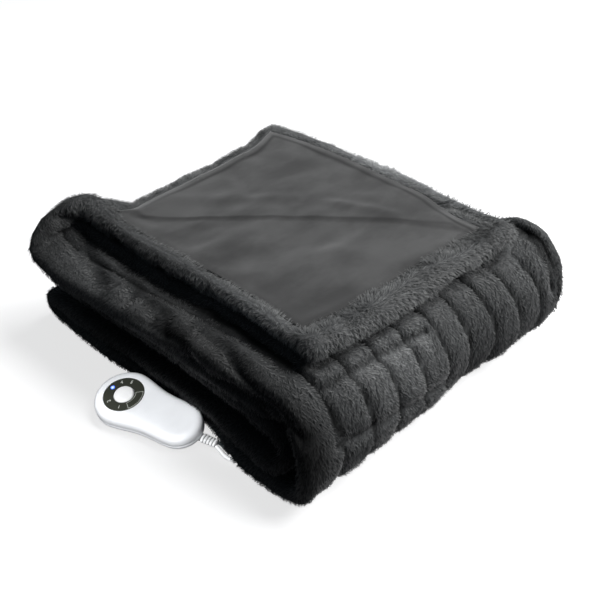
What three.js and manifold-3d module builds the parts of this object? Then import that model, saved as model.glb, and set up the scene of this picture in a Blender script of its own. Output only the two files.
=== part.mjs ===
// Electric heated throw, folded back and forth into a stack, with its wired hand control beside it.
// Millimetres, +Z up. The origin is on the floor, in the middle of the throw's flat underside.
// +X is the side with the large ribbed fold, and -Y is the side where the hand control lies.

import * as THREE from 'three';
import { mergeVertices } from 'three/addons/utils/BufferGeometryUtils.js';
import Module from 'manifold-3d';

const wasm = await Module();
wasm.setup();

// ---- driving dimensions ----

const GAP = 0.3; // clearance between pieces that touch

const LAYER = 25; // one layer of the throw, with its pile
const TOP_LAYER = 14; // the top layer between its hems
const HEM = 26; // height of the top layer's rolled fur hems
const HEM_LIFT = 2; // a hem's middle above the middle of its layer
const TURN_STEPS = 4; // facets round each turn of the cloth

const RIB_PITCH = 43; // channel to channel across the cloth
const RIB_COUNT = 9; // channels carved in the fur
const RIB_FIRST = -169; // Y of the first channel
const CHANNEL_HALF = 7; // half of a channel's width
const CHANNEL_DEPTH = 4.5;
const HEM_CHANNEL = 212; // Y of the deeper channel beside the far side hem
const NEAR_EDGE = -214; // the cloth's side hems on the unwarped pattern
const FAR_EDGE = 230;

const LINING_THICK = 2;
const LINING_CLEAR = 1.2;

const LEAD_D = 4.8; // both leads
const LEAD_Z = LEAD_D / 2 + 0.1;
const TUNNEL_RISE = 7.5; // how high the bottom layer rides over the two leads
const MAINS_LANE = 137.5; // X of the leads under the stack
const CONTROL_LANE = 147.5;

const HEAD_R = 36.5; // hand control, seen from above
const TAIL_R = 27.5;
const HEAD_TO_TAIL = 80;
const WAIST = 3; // how far its sides draw in between head and tail
const CONTROL_H = 21.5;
const SPLIT_H = 8.5; // parting line of its two shells
const DIAL_R = 24.3;
const DIAL_HOLE_R = 12.4;
const DIAL_THICK = 1.3;
const BUTTON_R = 11.7;
const CONTROL_AT = { x: -14, y: -249.5, z: 5.1, yaw: 13, tilt: 11 }; // head centre, and turns in degrees

const COIL_Y = 285;
const COIL_H = 15;
const MAINS_COIL = { x: 107, radius: 27, half: 7.4 }; // half: half the width of the bundle of turns
const CONTROL_COIL = { x: 175, radius: 24, half: 2.6 };

// ---- the folded cloth ----

// The cloth runs from its hem on top, turns under at -X, comes forward, falls over the large fold at +X,
// runs back along the floor, and goes back and forth inside. One row for each layer, in that order.
// mid: height of the layer's middle; from, to: where its straight run starts and ends along X;
// near, far: Y of its two side hems at each X of EDGE_AT.
const EDGE_AT = [-200, -70, 66, 145];
const LAYERS = [
  {
    name: 'top', mid: 149.5, from: 172, to: -166, runs: 7,
    near: [-170, -173, -171, -168],
    far: [178, 201, 197, 182],
  },
  {
    name: 'second', mid: 123.5, from: -166, to: 165, runs: 6,
    near: [-241, -236, -222, -212],
    far: [196, 206, 208, 214],
  },
  {
    name: 'bottom', mid: 12.5, from: 190, to: -212, runs: 0,
    near: [-221, -221, -202.5, -221],
    far: [216, 222, 224, 226],
  },
  {
    name: 'fifth', mid: 40.5, from: -212, to: 200, runs: 4,
    near: [-229, -221, -206, -221],
    far: [222, 226, 228, 230],
  },
  {
    name: 'fourth', mid: 68, from: 200, to: -194, runs: 4,
    near: [-208, -198, -198, -206],
    far: [214, 218, 220, 222],
  },
  {
    name: 'third', mid: 95.5, from: -194, to: 190, runs: 4,
    near: [-223, -217, -212, -210],
    far: [206, 214, 218, 222],
  },
];

// The top layer's rolled hem over the large fold, from its outer side to its inner one.
const FRONT_HEM = [
  { x: 198, thick: HEM },
  { x: 185, thick: HEM - 2 },
];

// The large fold at +X, from the second layer down to the bottom one. pinch: depth of a pressed crease.
const BULGE = [
  { x: 190, z: 122.5, near: -208, far: 220, pinch: 0 },
  { x: 208, z: 118, near: -209, far: 226, pinch: 0 },
  { x: 218, z: 113, near: -211, far: 230, pinch: 3 },
  { x: 228, z: 106, near: -213, far: 233, pinch: 0 },
  { x: 240, z: 91, near: -218, far: 236, pinch: 0 },
  { x: 247.5, z: 73, near: -222, far: 237, pinch: 0 },
  { x: 250.5, z: 56, near: -225, far: 236, pinch: 0 },
  { x: 248.5, z: 42, near: -226, far: 233, pinch: 0 },
  { x: 245.5, z: 33, near: -226, far: 230, pinch: 4.5 },
  { x: 239, z: 23, near: -226, far: 228, pinch: 0 },
  { x: 222, z: 14.5, near: -225, far: 226, pinch: 0 },
];
const UPPER_CREASE_ENDS = 10; // the upper crease fades out past this Y

// Where the bottom layer's middle line is cut, with the step over the two leads.
const FLOOR_RUN = [
  { x: 190, rise: 0 },
  { x: 160, rise: 0 },
  { x: 154, rise: TUNNEL_RISE },
  { x: 110, rise: TUNNEL_RISE },
  { x: 104, rise: 0 },
  { x: 50, rise: 0 },
  { x: -20, rise: 0 },
  { x: -100, rise: 0 },
  { x: -170, rise: 0 },
  { x: -212, rise: 0 },
];

// How far the turn at -X under the top layer reaches, by Y: its middle is drawn in, and its corner is not.
const BACK_EDGE = [
  { y: -240, shift: -2 },
  { y: -138, shift: -2 },
  { y: -54, shift: 10 },
  { y: 19, shift: -6 },
  { y: 91, shift: -12 },
  { y: 190, shift: -48 },
];
// How far the rolled hem over the large fold lies forward, by Y.
const FRONT_EDGE = [
  { y: -180, shift: -8 },
  { y: -140, shift: -4 },
  { y: -78, shift: 4 },
  { y: 40, shift: 8 },
  { y: 130, shift: 14 },
  { y: 200, shift: 11 },
];
const LOBE = { shift: -54, puff: 17, from: -110, to: -150 }; // the fat corner that sticks out at -X, -Y
const LIP = { rise: 0.15, from: 196, to: 216 }; // the large fold's far hem stands up

const mix = (a, b, t) => a + (b - a) * t;
const ease = (t) => {
  const u = THREE.MathUtils.clamp(t, 0, 1);
  return u * u * (3 - 2 * u);
};

// A value from a table of rows, eased from one row's key to the next.
function lookup(rows, key, field, at) {
  const next = rows.findIndex((row) => row[key] >= at);
  if (next === 0) return rows[0][field];
  if (next < 0) return rows[rows.length - 1][field];
  const before = rows[next - 1];
  return mix(before[field], rows[next][field], ease((at - before[key]) / (rows[next][key] - before[key])));
}

// A side hem's Y at x, eased through its values at EDGE_AT.
function sideEdge(values, x) {
  return lookup(values.map((y, i) => ({ x: EDGE_AT[i], y })), 'x', 'y', x);
}

// The stack's own weight: everything sinks a little towards its sides, and the surface is uneven.
function settle(x, y, z) {
  const foldShare = ease((x - 110) / 70);
  const nearDroop = 0.15 * THREE.MathUtils.clamp((-152 - y) / 88, 0, 1.1) ** 2;
  const farDroop = 0.13 * THREE.MathUtils.clamp((y - 168) / 64, 0, 1.1) ** 2 * (1 - 0.9 * foldShare);
  const lip = LIP.rise * ease((y - LIP.from) / (LIP.to - LIP.from)) * foldShare;
  const wave = 0.016 * Math.sin(x / 52 + 0.8) * ease((-120 - y) / 90);
  const slump = 0.012 * Math.cos(x / 120) * Math.cos(y / 110);
  const turnShare = ease((x + 40) / -110) * ease((z - 108) / 3);
  const corner = ease((LOBE.from - y) / (LOBE.from - LOBE.to)) * turnShare;
  const lobeShift = LOBE.shift * corner * mix(0.5, 1, ease((152 - z) / 28));
  const puff = LOBE.puff * corner * ease((-160 - x) / 30);
  const backShift = lookup(BACK_EDGE, 'y', 'shift', y) * turnShare;
  const frontShift = lookup(FRONT_EDGE, 'y', 'shift', y) * ease((x - 90) / 80) * ease((z - 136.5) / 2);
  const fan = 0.018 * y * ease((x - 150) / 80) * (1 - ease((z - 136.5) / 2));
  const height = z * (1 - nearDroop - farDroop + lip + wave - slump) + puff;
  return new THREE.Vector3(x + backShift + lobeShift + frontShift + fan, y, height);
}

// The stations along the cloth's middle line, from the hem on top to the free end inside.
function clothStations() {
  const stations = [];
  const add = (x, z, thick, near, far, extra = {}) => {
    stations.push({ x, z, thick, near, far, ribs: 0, pinch: 0, rise: 0, hem: 0, ...extra });
  };
  const turn = (from, to, side) => {
    const radius = Math.abs(from.mid - to.mid) / 2;
    const centre = (from.mid + to.mid) / 2;
    for (let i = 1; i < TURN_STEPS; i += 1) {
      const t = i / TURN_STEPS;
      const angle = Math.PI * t;
      const x = from.to + side * radius * Math.sin(angle);
      const z = centre + Math.sign(from.mid - to.mid) * radius * Math.cos(angle);
      const near = mix(sideEdge(from.near, from.to), sideEdge(to.near, to.from), ease(t));
      const far = mix(sideEdge(from.far, from.to), sideEdge(to.far, to.from), ease(t));
      const thick = from.name === 'top' ? mix(TOP_LAYER, LAYER - 2, t) : LAYER;
      const extra = from.name === 'top' ? { hem: 1 - t, ribs: t } : {};
      add(x, z, thick, near, far, extra);
    }
  };
  const run = (layer) => {
    for (let i = 0; i <= layer.runs; i += 1) {
      const x = mix(layer.from, layer.to, i / layer.runs);
      const isTop = layer.name === 'top';
      const extra = { hem: isTop ? 1 : 0, ribs: layer.name === 'second' ? 0.8 : 0 };
      add(x, layer.mid, isTop ? TOP_LAYER : LAYER, sideEdge(layer.near, x), sideEdge(layer.far, x), extra);
    }
  };
  const [top, second, bottom, fifth, fourth, third] = LAYERS;
  for (const { x, thick } of FRONT_HEM) {
    add(x, top.mid + HEM_LIFT, thick, sideEdge(top.near, x), sideEdge(top.far, x), { hem: 1 });
  }
  run(top);
  turn(top, second, -1);
  run(second);
  for (const row of BULGE) add(row.x, row.z, LAYER, row.near, row.far, { ribs: 1, pinch: row.pinch });
  for (const row of FLOOR_RUN) {
    const near = sideEdge(bottom.near, row.x);
    add(row.x, bottom.mid, LAYER, near, sideEdge(bottom.far, row.x), { rise: row.rise });
  }
  turn(bottom, fifth, -1);
  run(fifth);
  turn(fifth, fourth, 1);
  run(fourth);
  turn(fourth, third, -1);
  run(third);
  return stations;
}

// The columns across the cloth. v: Y on the unwarped pattern; arc: degrees round a side hem.
function clothColumns() {
  const radius = LAYER / 2;
  const near = [0, 35, 65, 90].map((arc) => ({ v: NEAR_EDGE, radius, side: 1, arc, depth: 0 }));
  const far = [90, 65, 35, 0].map((arc) => ({ v: FAR_EDGE, radius, side: -1, arc, depth: 0 }));
  const middle = [];
  for (let i = 0; i < RIB_COUNT; i += 1) {
    const y = RIB_FIRST + i * RIB_PITCH;
    middle.push({ v: y - CHANNEL_HALF, arc: 90, depth: 0 });
    middle.push({ v: y, arc: 90, depth: 1 });
    middle.push({ v: y + CHANNEL_HALF, arc: 90, depth: 0 });
  }
  middle.push({ v: HEM_CHANNEL - CHANNEL_HALF, arc: 90, depth: 0 });
  middle.push({ v: HEM_CHANNEL, arc: 90, depth: 1.6 });
  return [...near, ...middle, ...far];
}

// One point on the cloth: station and column, on its fur side (+1) or its lining side (-1), or past its end.
function clothPoint(station, normal, column, side, lean = 0) {
  const { near, far } = station;
  const arc = THREE.MathUtils.degToRad(column.arc);
  const edgeHem = station.hem && column.radius;
  const fullness = edgeHem ? station.hem * (column.side > 0 ? 1 : 0.6) : 0;
  const half = mix(station.thick, HEM - 2, fullness) / 2;
  const scale = (far - near) / (FAR_EDGE - NEAR_EDGE);
  let y = near + (column.v - NEAR_EDGE) * scale;
  if (column.radius) y = (column.side > 0 ? near : far) + column.side * half * (1 - Math.cos(arc));
  const fade = station.z > 100 ? ease((UPPER_CREASE_ENDS + 30 - y) / 60) : 1;
  let reach = half * Math.sin(arc);
  if (side > 0) {
    reach -= CHANNEL_DEPTH * column.depth * station.ribs + station.pinch * fade * Math.sin(arc);
    reach -= station.rise * Math.sin(arc);
  }
  const along = new THREE.Vector2(normal.y, -normal.x).multiplyScalar(-lean * reach);
  const out = normal.clone().multiplyScalar(side * reach * Math.sqrt(1 - lean * lean));
  const lift = edgeHem ? HEM_LIFT * 0.5 : 0;
  return settle(station.x + out.x + along.x, y, station.z + out.y + along.y + lift);
}

// The unit normals of the middle line in XZ, on its fur side.
function clothNormals(stations) {
  return stations.map((station, i) => {
    const a = stations[Math.max(0, i - 1)];
    const b = stations[Math.min(stations.length - 1, i + 1)];
    const flat = i > 0 && station.rise !== b.rise;
    const tangent = flat ? new THREE.Vector2(-1, 0) : new THREE.Vector2(b.x - a.x, b.z - a.z).normalize();
    return new THREE.Vector2(-tangent.y, tangent.x);
  });
}

// A closed mesh from a list of points and triangles, dropping the triangles that have collapsed.
function solid(points, triangles) {
  const geometry = new THREE.BufferGeometry();
  const places = points.flatMap((point) => [point.x, point.y, point.z]);
  geometry.setAttribute('position', new THREE.Float32BufferAttribute(places, 3));
  geometry.setIndex(triangles.filter(([a, b, c]) => a !== b && b !== c && c !== a).flat());
  return geometry;
}

// The triangles between closed rings of point numbers, facing out where the rings run round their axis.
function skin(rings) {
  const triangles = [];
  for (let r = 0; r < rings.length - 1; r += 1) {
    const [low, high] = [rings[r], rings[r + 1]];
    for (let k = 0; k < low.length; k += 1) {
      const m = (k + 1) % low.length;
      triangles.push([low[k], low[m], high[m]], [low[k], high[m], high[k]]);
    }
  }
  return triangles;
}

// The folded cloth as one solid: its outline round the section, carried from one side hem to the other.
function throwGeometry() {
  const stations = clothStations();
  const normals = clothNormals(stations);
  const columns = clothColumns();
  const last = stations.length - 1;
  const furSide = stations.map((_, i) => ({ i, side: 1, lean: 0 }));
  const liningSide = stations.map((_, i) => ({ i: last - i, side: -1, lean: 0 }));
  const innerEnd = [[1, 0.7], [1, 1], [-1, 0.7]].map(([side, lean]) => ({ i: last, side, lean }));
  const outerEnd = [[-1, -0.7], [-1, -1], [1, -0.7]].map(([side, lean]) => ({ i: 0, side, lean }));
  const loop = [...furSide, ...innerEnd, ...liningSide, ...outerEnd];
  const points = [];
  const rows = columns.map((column) => {
    const pinched = Math.sin(THREE.MathUtils.degToRad(column.arc)) === 0;
    const seam = new Map();
    return loop.map(({ i, side, lean }) => {
      if (pinched && seam.has(i)) return seam.get(i);
      points.push(clothPoint(stations[i], normals[i], column, side, lean));
      seam.set(i, points.length - 1);
      return points.length - 1;
    });
  });
  return solid(points, skin(rows));
}

// ---- the lining panel ----

const PANEL = { minX: -166, maxX: 170, nearInset: 34.5, farInset: 23, steps: 22 }; // from the side hems

// Soft wrinkles in the lining, as ridges between two points.
const WRINKLES = [
  { x1: -150, y1: -86, x2: -20, y2: 60, wide: 13, rise: 2.2 },
  { x1: -20, y1: 60, x2: 110, y2: 110, wide: 11, rise: 2.6 },
  { x1: -60, y1: -96, x2: 60, y2: -60, wide: 22, rise: 2.4 },
  { x1: -150, y1: 110, x2: -70, y2: 138, wide: 16, rise: 2.6 },
  { x1: 60, y1: -20, x2: 150, y2: 20, wide: 18, rise: 2 },
];

function wrinkle(x, y) {
  return WRINKLES.reduce((sum, { x1, y1, x2, y2, wide, rise }) => {
    const length = Math.hypot(x2 - x1, y2 - y1);
    const along = ((x - x1) * (x2 - x1) + (y - y1) * (y2 - y1)) / length;
    const off = ((x - x1) * (y2 - y1) - (y - y1) * (x2 - x1)) / length;
    const ends = ease(along / 40) * ease((length - along) / 40);
    return sum + rise * ends * Math.exp(-((off / wide) ** 2));
  }, 0);
}

function liningGeometry() {
  const { minX, maxX, nearInset, farInset, steps } = PANEL;
  const top = LAYERS[0];
  const base = top.mid + TOP_LAYER / 2 + LINING_CLEAR;
  const points = [];
  const grid = [0, 1].map((upper) => {
    const rows = [];
    for (let i = 0; i <= steps; i += 1) {
      const row = [];
      for (let j = 0; j <= steps; j += 1) {
        const x = mix(minX, maxX, i / steps);
        const y = mix(sideEdge(top.near, x) + nearInset, sideEdge(top.far, x) - farInset, j / steps);
        const edge = ease(Math.min(i, j, steps - i, steps - j) / 2);
        row.push(points.length);
        points.push(settle(x, y, base + upper * LINING_THICK + wrinkle(x, y) * edge));
      }
      rows.push(row);
    }
    return rows;
  });
  const triangles = [];
  const quad = (a, b, c, d) => triangles.push([a, b, c], [a, c, d]);
  const [low, high] = grid;
  for (let i = 0; i < steps; i += 1) {
    for (let j = 0; j < steps; j += 1) {
      quad(high[i][j], high[i + 1][j], high[i + 1][j + 1], high[i][j + 1]);
      quad(low[i][j], low[i][j + 1], low[i + 1][j + 1], low[i + 1][j]);
    }
    quad(low[i][0], low[i + 1][0], high[i + 1][0], high[i][0]);
    quad(low[i + 1][steps], low[i][steps], high[i][steps], high[i + 1][steps]);
    quad(low[0][i + 1], low[0][i], high[0][i], high[0][i + 1]);
    quad(low[steps][i], low[steps][i + 1], high[steps][i + 1], high[steps][i]);
  }
  return solid(points, triangles);
}

// ---- the hand control ----

const OUTLINE_STEPS = 44;

// The control's outline, drawn in by inset: a large round head, a smaller tail and slightly hollow sides.
function controlOutline(inset) {
  const tangent = Math.acos((HEAD_R - TAIL_R) / HEAD_TO_TAIL);
  const points = [];
  const arcPoint = (centre, radius, angle) => {
    points.push(new THREE.Vector2(centre + radius * Math.cos(angle), radius * Math.sin(angle)));
  };
  const tailSteps = Math.round(OUTLINE_STEPS * 0.35);
  const headSteps = Math.round(OUTLINE_STEPS * 0.45);
  const sidePoints = (sign) => {
    const head = new THREE.Vector2(Math.cos(tangent), sign * Math.sin(tangent));
    const from = head.clone().multiplyScalar(HEAD_R - inset);
    const to = head.clone().multiplyScalar(TAIL_R - inset).add(new THREE.Vector2(HEAD_TO_TAIL, 0));
    const shares = sign > 0 ? [0.8, 0.6, 0.4, 0.2] : [0.2, 0.4, 0.6, 0.8];
    for (const t of shares) {
      const hollow = WAIST * Math.sin(Math.PI * t) ** 2;
      points.push(from.clone().lerp(to, t).addScaledVector(head, -hollow));
    }
  };
  for (let i = 0; i <= tailSteps; i += 1) {
    arcPoint(HEAD_TO_TAIL, TAIL_R - inset, mix(-tangent, tangent, i / tailSteps));
  }
  sidePoints(1);
  for (let i = 0; i <= headSteps; i += 1) {
    arcPoint(0, HEAD_R - inset, mix(tangent, 2 * Math.PI - tangent, i / headSteps));
  }
  sidePoints(-1);
  return points;
}

// A shell lofted through levels of { z, inset }, closed by flat caps.
function loft(levels) {
  const points = [];
  const rings = levels.map(({ z, inset }) => controlOutline(inset).map((p) => {
    points.push(new THREE.Vector3(p.x, p.y, z));
    return points.length - 1;
  }));
  const triangles = skin(rings);
  const count = rings[0].length;
  for (const [ring, up] of [[rings[0], false], [rings[rings.length - 1], true]]) {
    const centre = points.push(new THREE.Vector3(HEAD_TO_TAIL / 2, 0, points[ring[0]].z)) - 1;
    for (let k = 0; k < count; k += 1) {
      const m = (k + 1) % count;
      triangles.push(up ? [ring[k], ring[m], centre] : [ring[m], ring[k], centre]);
    }
  }
  return solid(points, triangles);
}

function toManifold(geometry) {
  const bare = geometry.clone();
  bare.deleteAttribute('normal');
  bare.deleteAttribute('uv');
  const merged = mergeVertices(bare, 1e-4);
  return new wasm.Manifold(new wasm.Mesh({
    numProp: 3,
    vertProperties: new Float32Array(merged.attributes.position.array),
    triVerts: new Uint32Array(merged.index.array),
  }));
}

function fromManifold(shape) {
  const { vertProperties, triVerts } = shape.getMesh();
  const geometry = new THREE.BufferGeometry();
  geometry.setAttribute('position', new THREE.BufferAttribute(new Float32Array(vertProperties), 3));
  geometry.setIndex(new THREE.BufferAttribute(new Uint32Array(triVerts), 1));
  return geometry;
}

// An upright cylinder from z = low to z = high at x, y.
function disc(radius, low, high, x = 0, y = 0, sides = 40) {
  const geometry = new THREE.CylinderGeometry(radius, radius, high - low, sides);
  geometry.rotateX(Math.PI / 2);
  geometry.translate(x, y, (low + high) / 2);
  return geometry;
}

const DIAL_FLOOR = CONTROL_H - 1.7; // the recess that holds the dial ring
const LED = { radius: 2.4, at: 18.3, angle: 175 }; // in the dial ring; degrees from the tail

const ledX = LED.at * Math.cos(THREE.MathUtils.degToRad(LED.angle));
const ledY = LED.at * Math.sin(THREE.MathUtils.degToRad(LED.angle));

const lowerShell = () => loft([
  { z: 0, inset: 11 },
  { z: 0.8, inset: 6.5 },
  { z: 2.4, inset: 3 },
  { z: 4.8, inset: 1 },
  { z: SPLIT_H - GAP, inset: 0 },
]);

function upperShell() {
  const body = loft([
    { z: SPLIT_H, inset: 0 },
    { z: 13, inset: 0.2 },
    { z: 16.4, inset: 0.9 },
    { z: 18.9, inset: 2.3 },
    { z: 20.4, inset: 4.6 },
    { z: 21.2, inset: 7.8 },
    { z: CONTROL_H, inset: 12 },
  ]);
  const recess = toManifold(disc(DIAL_R + GAP, DIAL_FLOOR, CONTROL_H + 1));
  const well = toManifold(disc(BUTTON_R + 0.5, DIAL_FLOOR - 6, CONTROL_H + 1));
  return fromManifold(toManifold(body).subtract(recess).subtract(well));
}

function dialRing() {
  const low = DIAL_FLOOR + GAP;
  const high = low + DIAL_THICK;
  const ring = toManifold(disc(DIAL_R, low, high))
    .subtract(toManifold(disc(DIAL_HOLE_R, low - 1, high + 1)))
    .subtract(toManifold(disc(LED.radius + GAP, low - 1, high + 1, ledX, ledY, 16)));
  return fromManifold(ring);
}

// A cap with a softly domed top, turned round the button's axis.
function pushButton() {
  const low = DIAL_FLOOR - 4;
  const high = CONTROL_H + 1.6;
  const profile = [
    [0, low],
    [BUTTON_R, low],
    [BUTTON_R, high - 1.4],
    [BUTTON_R - 0.5, high - 0.6],
    [BUTTON_R - 1.8, high - 0.1],
    [0, high],
  ];
  const geometry = new THREE.LatheGeometry(profile.map(([r, z]) => new THREE.Vector2(r, z)), 40);
  geometry.rotateX(Math.PI / 2);
  return geometry;
}

const ledLens = () => disc(LED.radius, DIAL_FLOOR + GAP, DIAL_FLOOR + GAP + DIAL_THICK + 0.3, ledX, ledY, 16);

// ---- the strain relief and the leads ----

const RELIEF = { length: 21, ribs: 5, wide: 13, high: 8.4, tip: 0.88 };
const RELIEF_AT = { x: 88.8, y: -223, z: 7, yaw: 18, pitch: 3 }; // its base at the control's tail

// A flat oval boot with ribs round it, lying along +X from its base at the origin.
function reliefGeometry() {
  const sides = 20;
  const points = [];
  const rings = [];
  const ring = (x, grow) => {
    const taper = mix(1, RELIEF.tip, x / RELIEF.length);
    rings.push(Array.from({ length: sides }, (_, k) => {
      const angle = (2 * Math.PI * k) / sides;
      const y = (RELIEF.wide / 2 + grow) * taper * Math.cos(angle);
      return points.push(new THREE.Vector3(x, y, (RELIEF.high / 2 + grow) * taper * Math.sin(angle))) - 1;
    }));
  };
  ring(0, -0.8);
  const pitch = RELIEF.length / (RELIEF.ribs + 0.5);
  for (let i = 0; i < RELIEF.ribs; i += 1) {
    const start = pitch * (i + 0.6);
    ring(start - 0.5, -0.8);
    ring(start, 0);
    ring(start + pitch * 0.5, 0);
    ring(start + pitch * 0.5 + 0.5, -0.8);
  }
  ring(RELIEF.length, -0.8);
  const triangles = skin(rings);
  const first = rings[0];
  const end = rings[rings.length - 1];
  for (let k = 1; k < sides - 1; k += 1) {
    triangles.push([first[0], first[k + 1], first[k]], [end[0], end[k], end[k + 1]]);
  }
  return solid(points, triangles);
}

// Routes by hand: out of the relief, down to the floor, under the stack and out to the coils behind it.
const MAINS_ROUTE = [
  [108.4, -213.4, 5.7], [113, -212.6, 4.4], [118, -213, 3.2],
  [127.8, -210.4, LEAD_Z], [134.9, -203.2, LEAD_Z], [MAINS_LANE, -193.5, LEAD_Z],
  [MAINS_LANE, -150, LEAD_Z], [MAINS_LANE, -60, LEAD_Z], [MAINS_LANE, 60, LEAD_Z], [MAINS_LANE, 160, LEAD_Z],
  [136.8, 205, LEAD_Z], [134.5, 240, LEAD_Z], [134, 260.5, LEAD_Z],
];
const CONTROL_ROUTE = [
  [110.4, -219.4, 5.7], [118.5, -219.7, 3.6], [127, -220.5, LEAD_Z],
  [137.3, -217.8, LEAD_Z], [144.8, -210.3, LEAD_Z], [CONTROL_LANE, -200, LEAD_Z],
  [CONTROL_LANE, -150, LEAD_Z], [CONTROL_LANE, -60, LEAD_Z],
  [CONTROL_LANE, 60, LEAD_Z], [CONTROL_LANE, 160, LEAD_Z],
  [148.2, 205, LEAD_Z], [150.5, 240, LEAD_Z], [151, 268.5, LEAD_Z],
];
const PLUG_ROUTE = [[82.7, 312, 7.3], [74, 312, 7.5], [66.5, 312, 7.6]];
const HEM_ROUTE = [[199, 268.5, 12], [199.5, 256, 12], [200, 243, 12], [200, 226.3, 11.6]];

function leadGeometry(route) {
  const places = route.map((point) => new THREE.Vector3(...point));
  const path = new THREE.CatmullRomCurve3(places, false, 'centripetal');
  const section = new THREE.Shape().absarc(0, 0, LEAD_D / 2, 0, 2 * Math.PI, false);
  const steps = Math.max(2, Math.round(path.getLength() / (3 * LEAD_D)));
  return new THREE.ExtrudeGeometry(section, { curveSegments: 4, steps, extrudePath: path });
}

// The outer shape of a coil of lead, turned round an upright axis.
function coilGeometry({ x, radius, half }) {
  const edge = Math.min(half, COIL_H) * 0.5;
  const corners = [
    [radius - half + edge, 0.1],
    [radius + half - edge, 0.1],
    [radius + half, 0.1 + edge],
    [radius + half, COIL_H - edge],
    [radius + half - edge, COIL_H],
    [radius - half + edge, COIL_H],
    [radius - half, COIL_H - edge],
    [radius - half, 0.1 + edge],
    [radius - half + edge, 0.1],
  ];
  const geometry = new THREE.LatheGeometry(corners.map(([r, z]) => new THREE.Vector2(r, z)), 32);
  geometry.rotateX(Math.PI / 2);
  geometry.translate(x, COIL_Y, 0);
  return geometry;
}

// ---- the plug ----

const PLUG = { length: 31, wide: 25, high: 15, backX: 66, y: 312 };
const BLADE = { length: 17.5, high: 6.3, thick: 1.5, apart: 12.7 };

// The plug's body, tapered towards the lead, along -X.
function plugGeometry() {
  const rings = [
    { x: -PLUG.length, share: 1 },
    { x: -14, share: 1 },
    { x: -9, share: 0.78 },
    { x: 0, share: 0.5 },
  ];
  const sides = 16;
  const points = [];
  const loops = rings.map(({ x, share }) => Array.from({ length: sides }, (_, k) => {
    const angle = (2 * Math.PI * (k + 0.5)) / sides;
    const round = (value) => Math.sign(value) * Math.abs(value) ** 0.5;
    const y = (PLUG.wide / 2) * share * round(Math.cos(angle));
    const z = (PLUG.high / 2) * Math.max(share, 0.7) * round(Math.sin(angle));
    return points.push(new THREE.Vector3(PLUG.backX + x, PLUG.y + y, PLUG.high / 2 + 0.1 + z)) - 1;
  }));
  const triangles = skin(loops);
  const [front, back] = [loops[0], loops[loops.length - 1]];
  for (let k = 1; k < sides - 1; k += 1) {
    triangles.push([front[0], front[k + 1], front[k]], [back[0], back[k], back[k + 1]]);
  }
  return solid(points, triangles);
}

function bladeGeometry(side) {
  const geometry = new THREE.BoxGeometry(BLADE.length, BLADE.thick, BLADE.high);
  const x = PLUG.backX - PLUG.length - GAP - BLADE.length / 2;
  geometry.translate(x, PLUG.y + (side * BLADE.apart) / 2, PLUG.high / 2 + 0.1);
  return geometry;
}

// ---- materials and assembly ----

function finish(color, roughness, metalness = 0) {
  return new THREE.MeshStandardMaterial({ color, roughness, metalness });
}

const FUR = finish(0x3a3b3a, 0.95);
const SMOOTH_CLOTH = finish(0x4e4e4f, 0.9);
const WHITE_PLASTIC = finish(0xeceef1, 0.3);
const DARK_PLASTIC = finish(0x2f312c, 0.4);
const LENS = finish(0x4f86e8, 0.2);
const WHITE_LEAD = finish(0xe6e8ea, 0.45);
const BRASS = finish(0xb9a26a, 0.3, 1);

function piece(name, geometry, material) {
  const mesh = new THREE.Mesh(geometry, material);
  mesh.name = name;
  return mesh;
}

const throwSet = new THREE.Group();
throwSet.add(piece('throw', throwGeometry(), FUR));
throwSet.add(piece('lining', liningGeometry(), SMOOTH_CLOTH));

const handControl = new THREE.Group();
handControl.position.set(CONTROL_AT.x, CONTROL_AT.y, CONTROL_AT.z);
handControl.rotation.set(
  THREE.MathUtils.degToRad(CONTROL_AT.tilt),
  0,
  THREE.MathUtils.degToRad(CONTROL_AT.yaw),
  'ZYX',
);
handControl.add(piece('control_lower_shell', lowerShell(), WHITE_PLASTIC));
handControl.add(piece('control_upper_shell', upperShell(), WHITE_PLASTIC));
handControl.add(piece('dial_ring', dialRing(), DARK_PLASTIC));
handControl.add(piece('push_button', pushButton(), WHITE_PLASTIC));
handControl.add(piece('led_lens', ledLens(), LENS));

const relief = piece('strain_relief', reliefGeometry(), WHITE_LEAD);
relief.position.set(RELIEF_AT.x, RELIEF_AT.y, RELIEF_AT.z);
relief.rotation.set(
  0,
  THREE.MathUtils.degToRad(RELIEF_AT.pitch),
  THREE.MathUtils.degToRad(RELIEF_AT.yaw),
  'ZYX',
);

const leads = new THREE.Group();
leads.add(relief);
leads.add(piece('mains_lead', leadGeometry(MAINS_ROUTE), WHITE_LEAD));
leads.add(piece('mains_coil', coilGeometry(MAINS_COIL), WHITE_LEAD));
leads.add(piece('plug_lead', leadGeometry(PLUG_ROUTE), WHITE_LEAD));
leads.add(piece('plug_body', plugGeometry(), WHITE_LEAD));
leads.add(piece('plug_blade_left', bladeGeometry(-1), BRASS));
leads.add(piece('plug_blade_right', bladeGeometry(1), BRASS));
leads.add(piece('control_lead', leadGeometry(CONTROL_ROUTE), WHITE_LEAD));
leads.add(piece('control_coil', coilGeometry(CONTROL_COIL), WHITE_LEAD));
leads.add(piece('hem_lead', leadGeometry(HEM_ROUTE), WHITE_LEAD));

const electricThrow = new THREE.Group();
electricThrow.add(throwSet, handControl, leads);

export default electricThrow;
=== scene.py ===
"""Dresses a folded faux-fur electric throw: its pile, lining, hand control, leads, plug and studio."""

import math
from collections import namedtuple

import bmesh
import bpy
import numpy as np
from bpy.props import FloatProperty, FloatVectorProperty, IntProperty, PointerProperty
from bpy.types import Operator, Panel, PropertyGroup
from mathutils import Matrix, Vector
from mathutils.bvhtree import BVHTree


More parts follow.
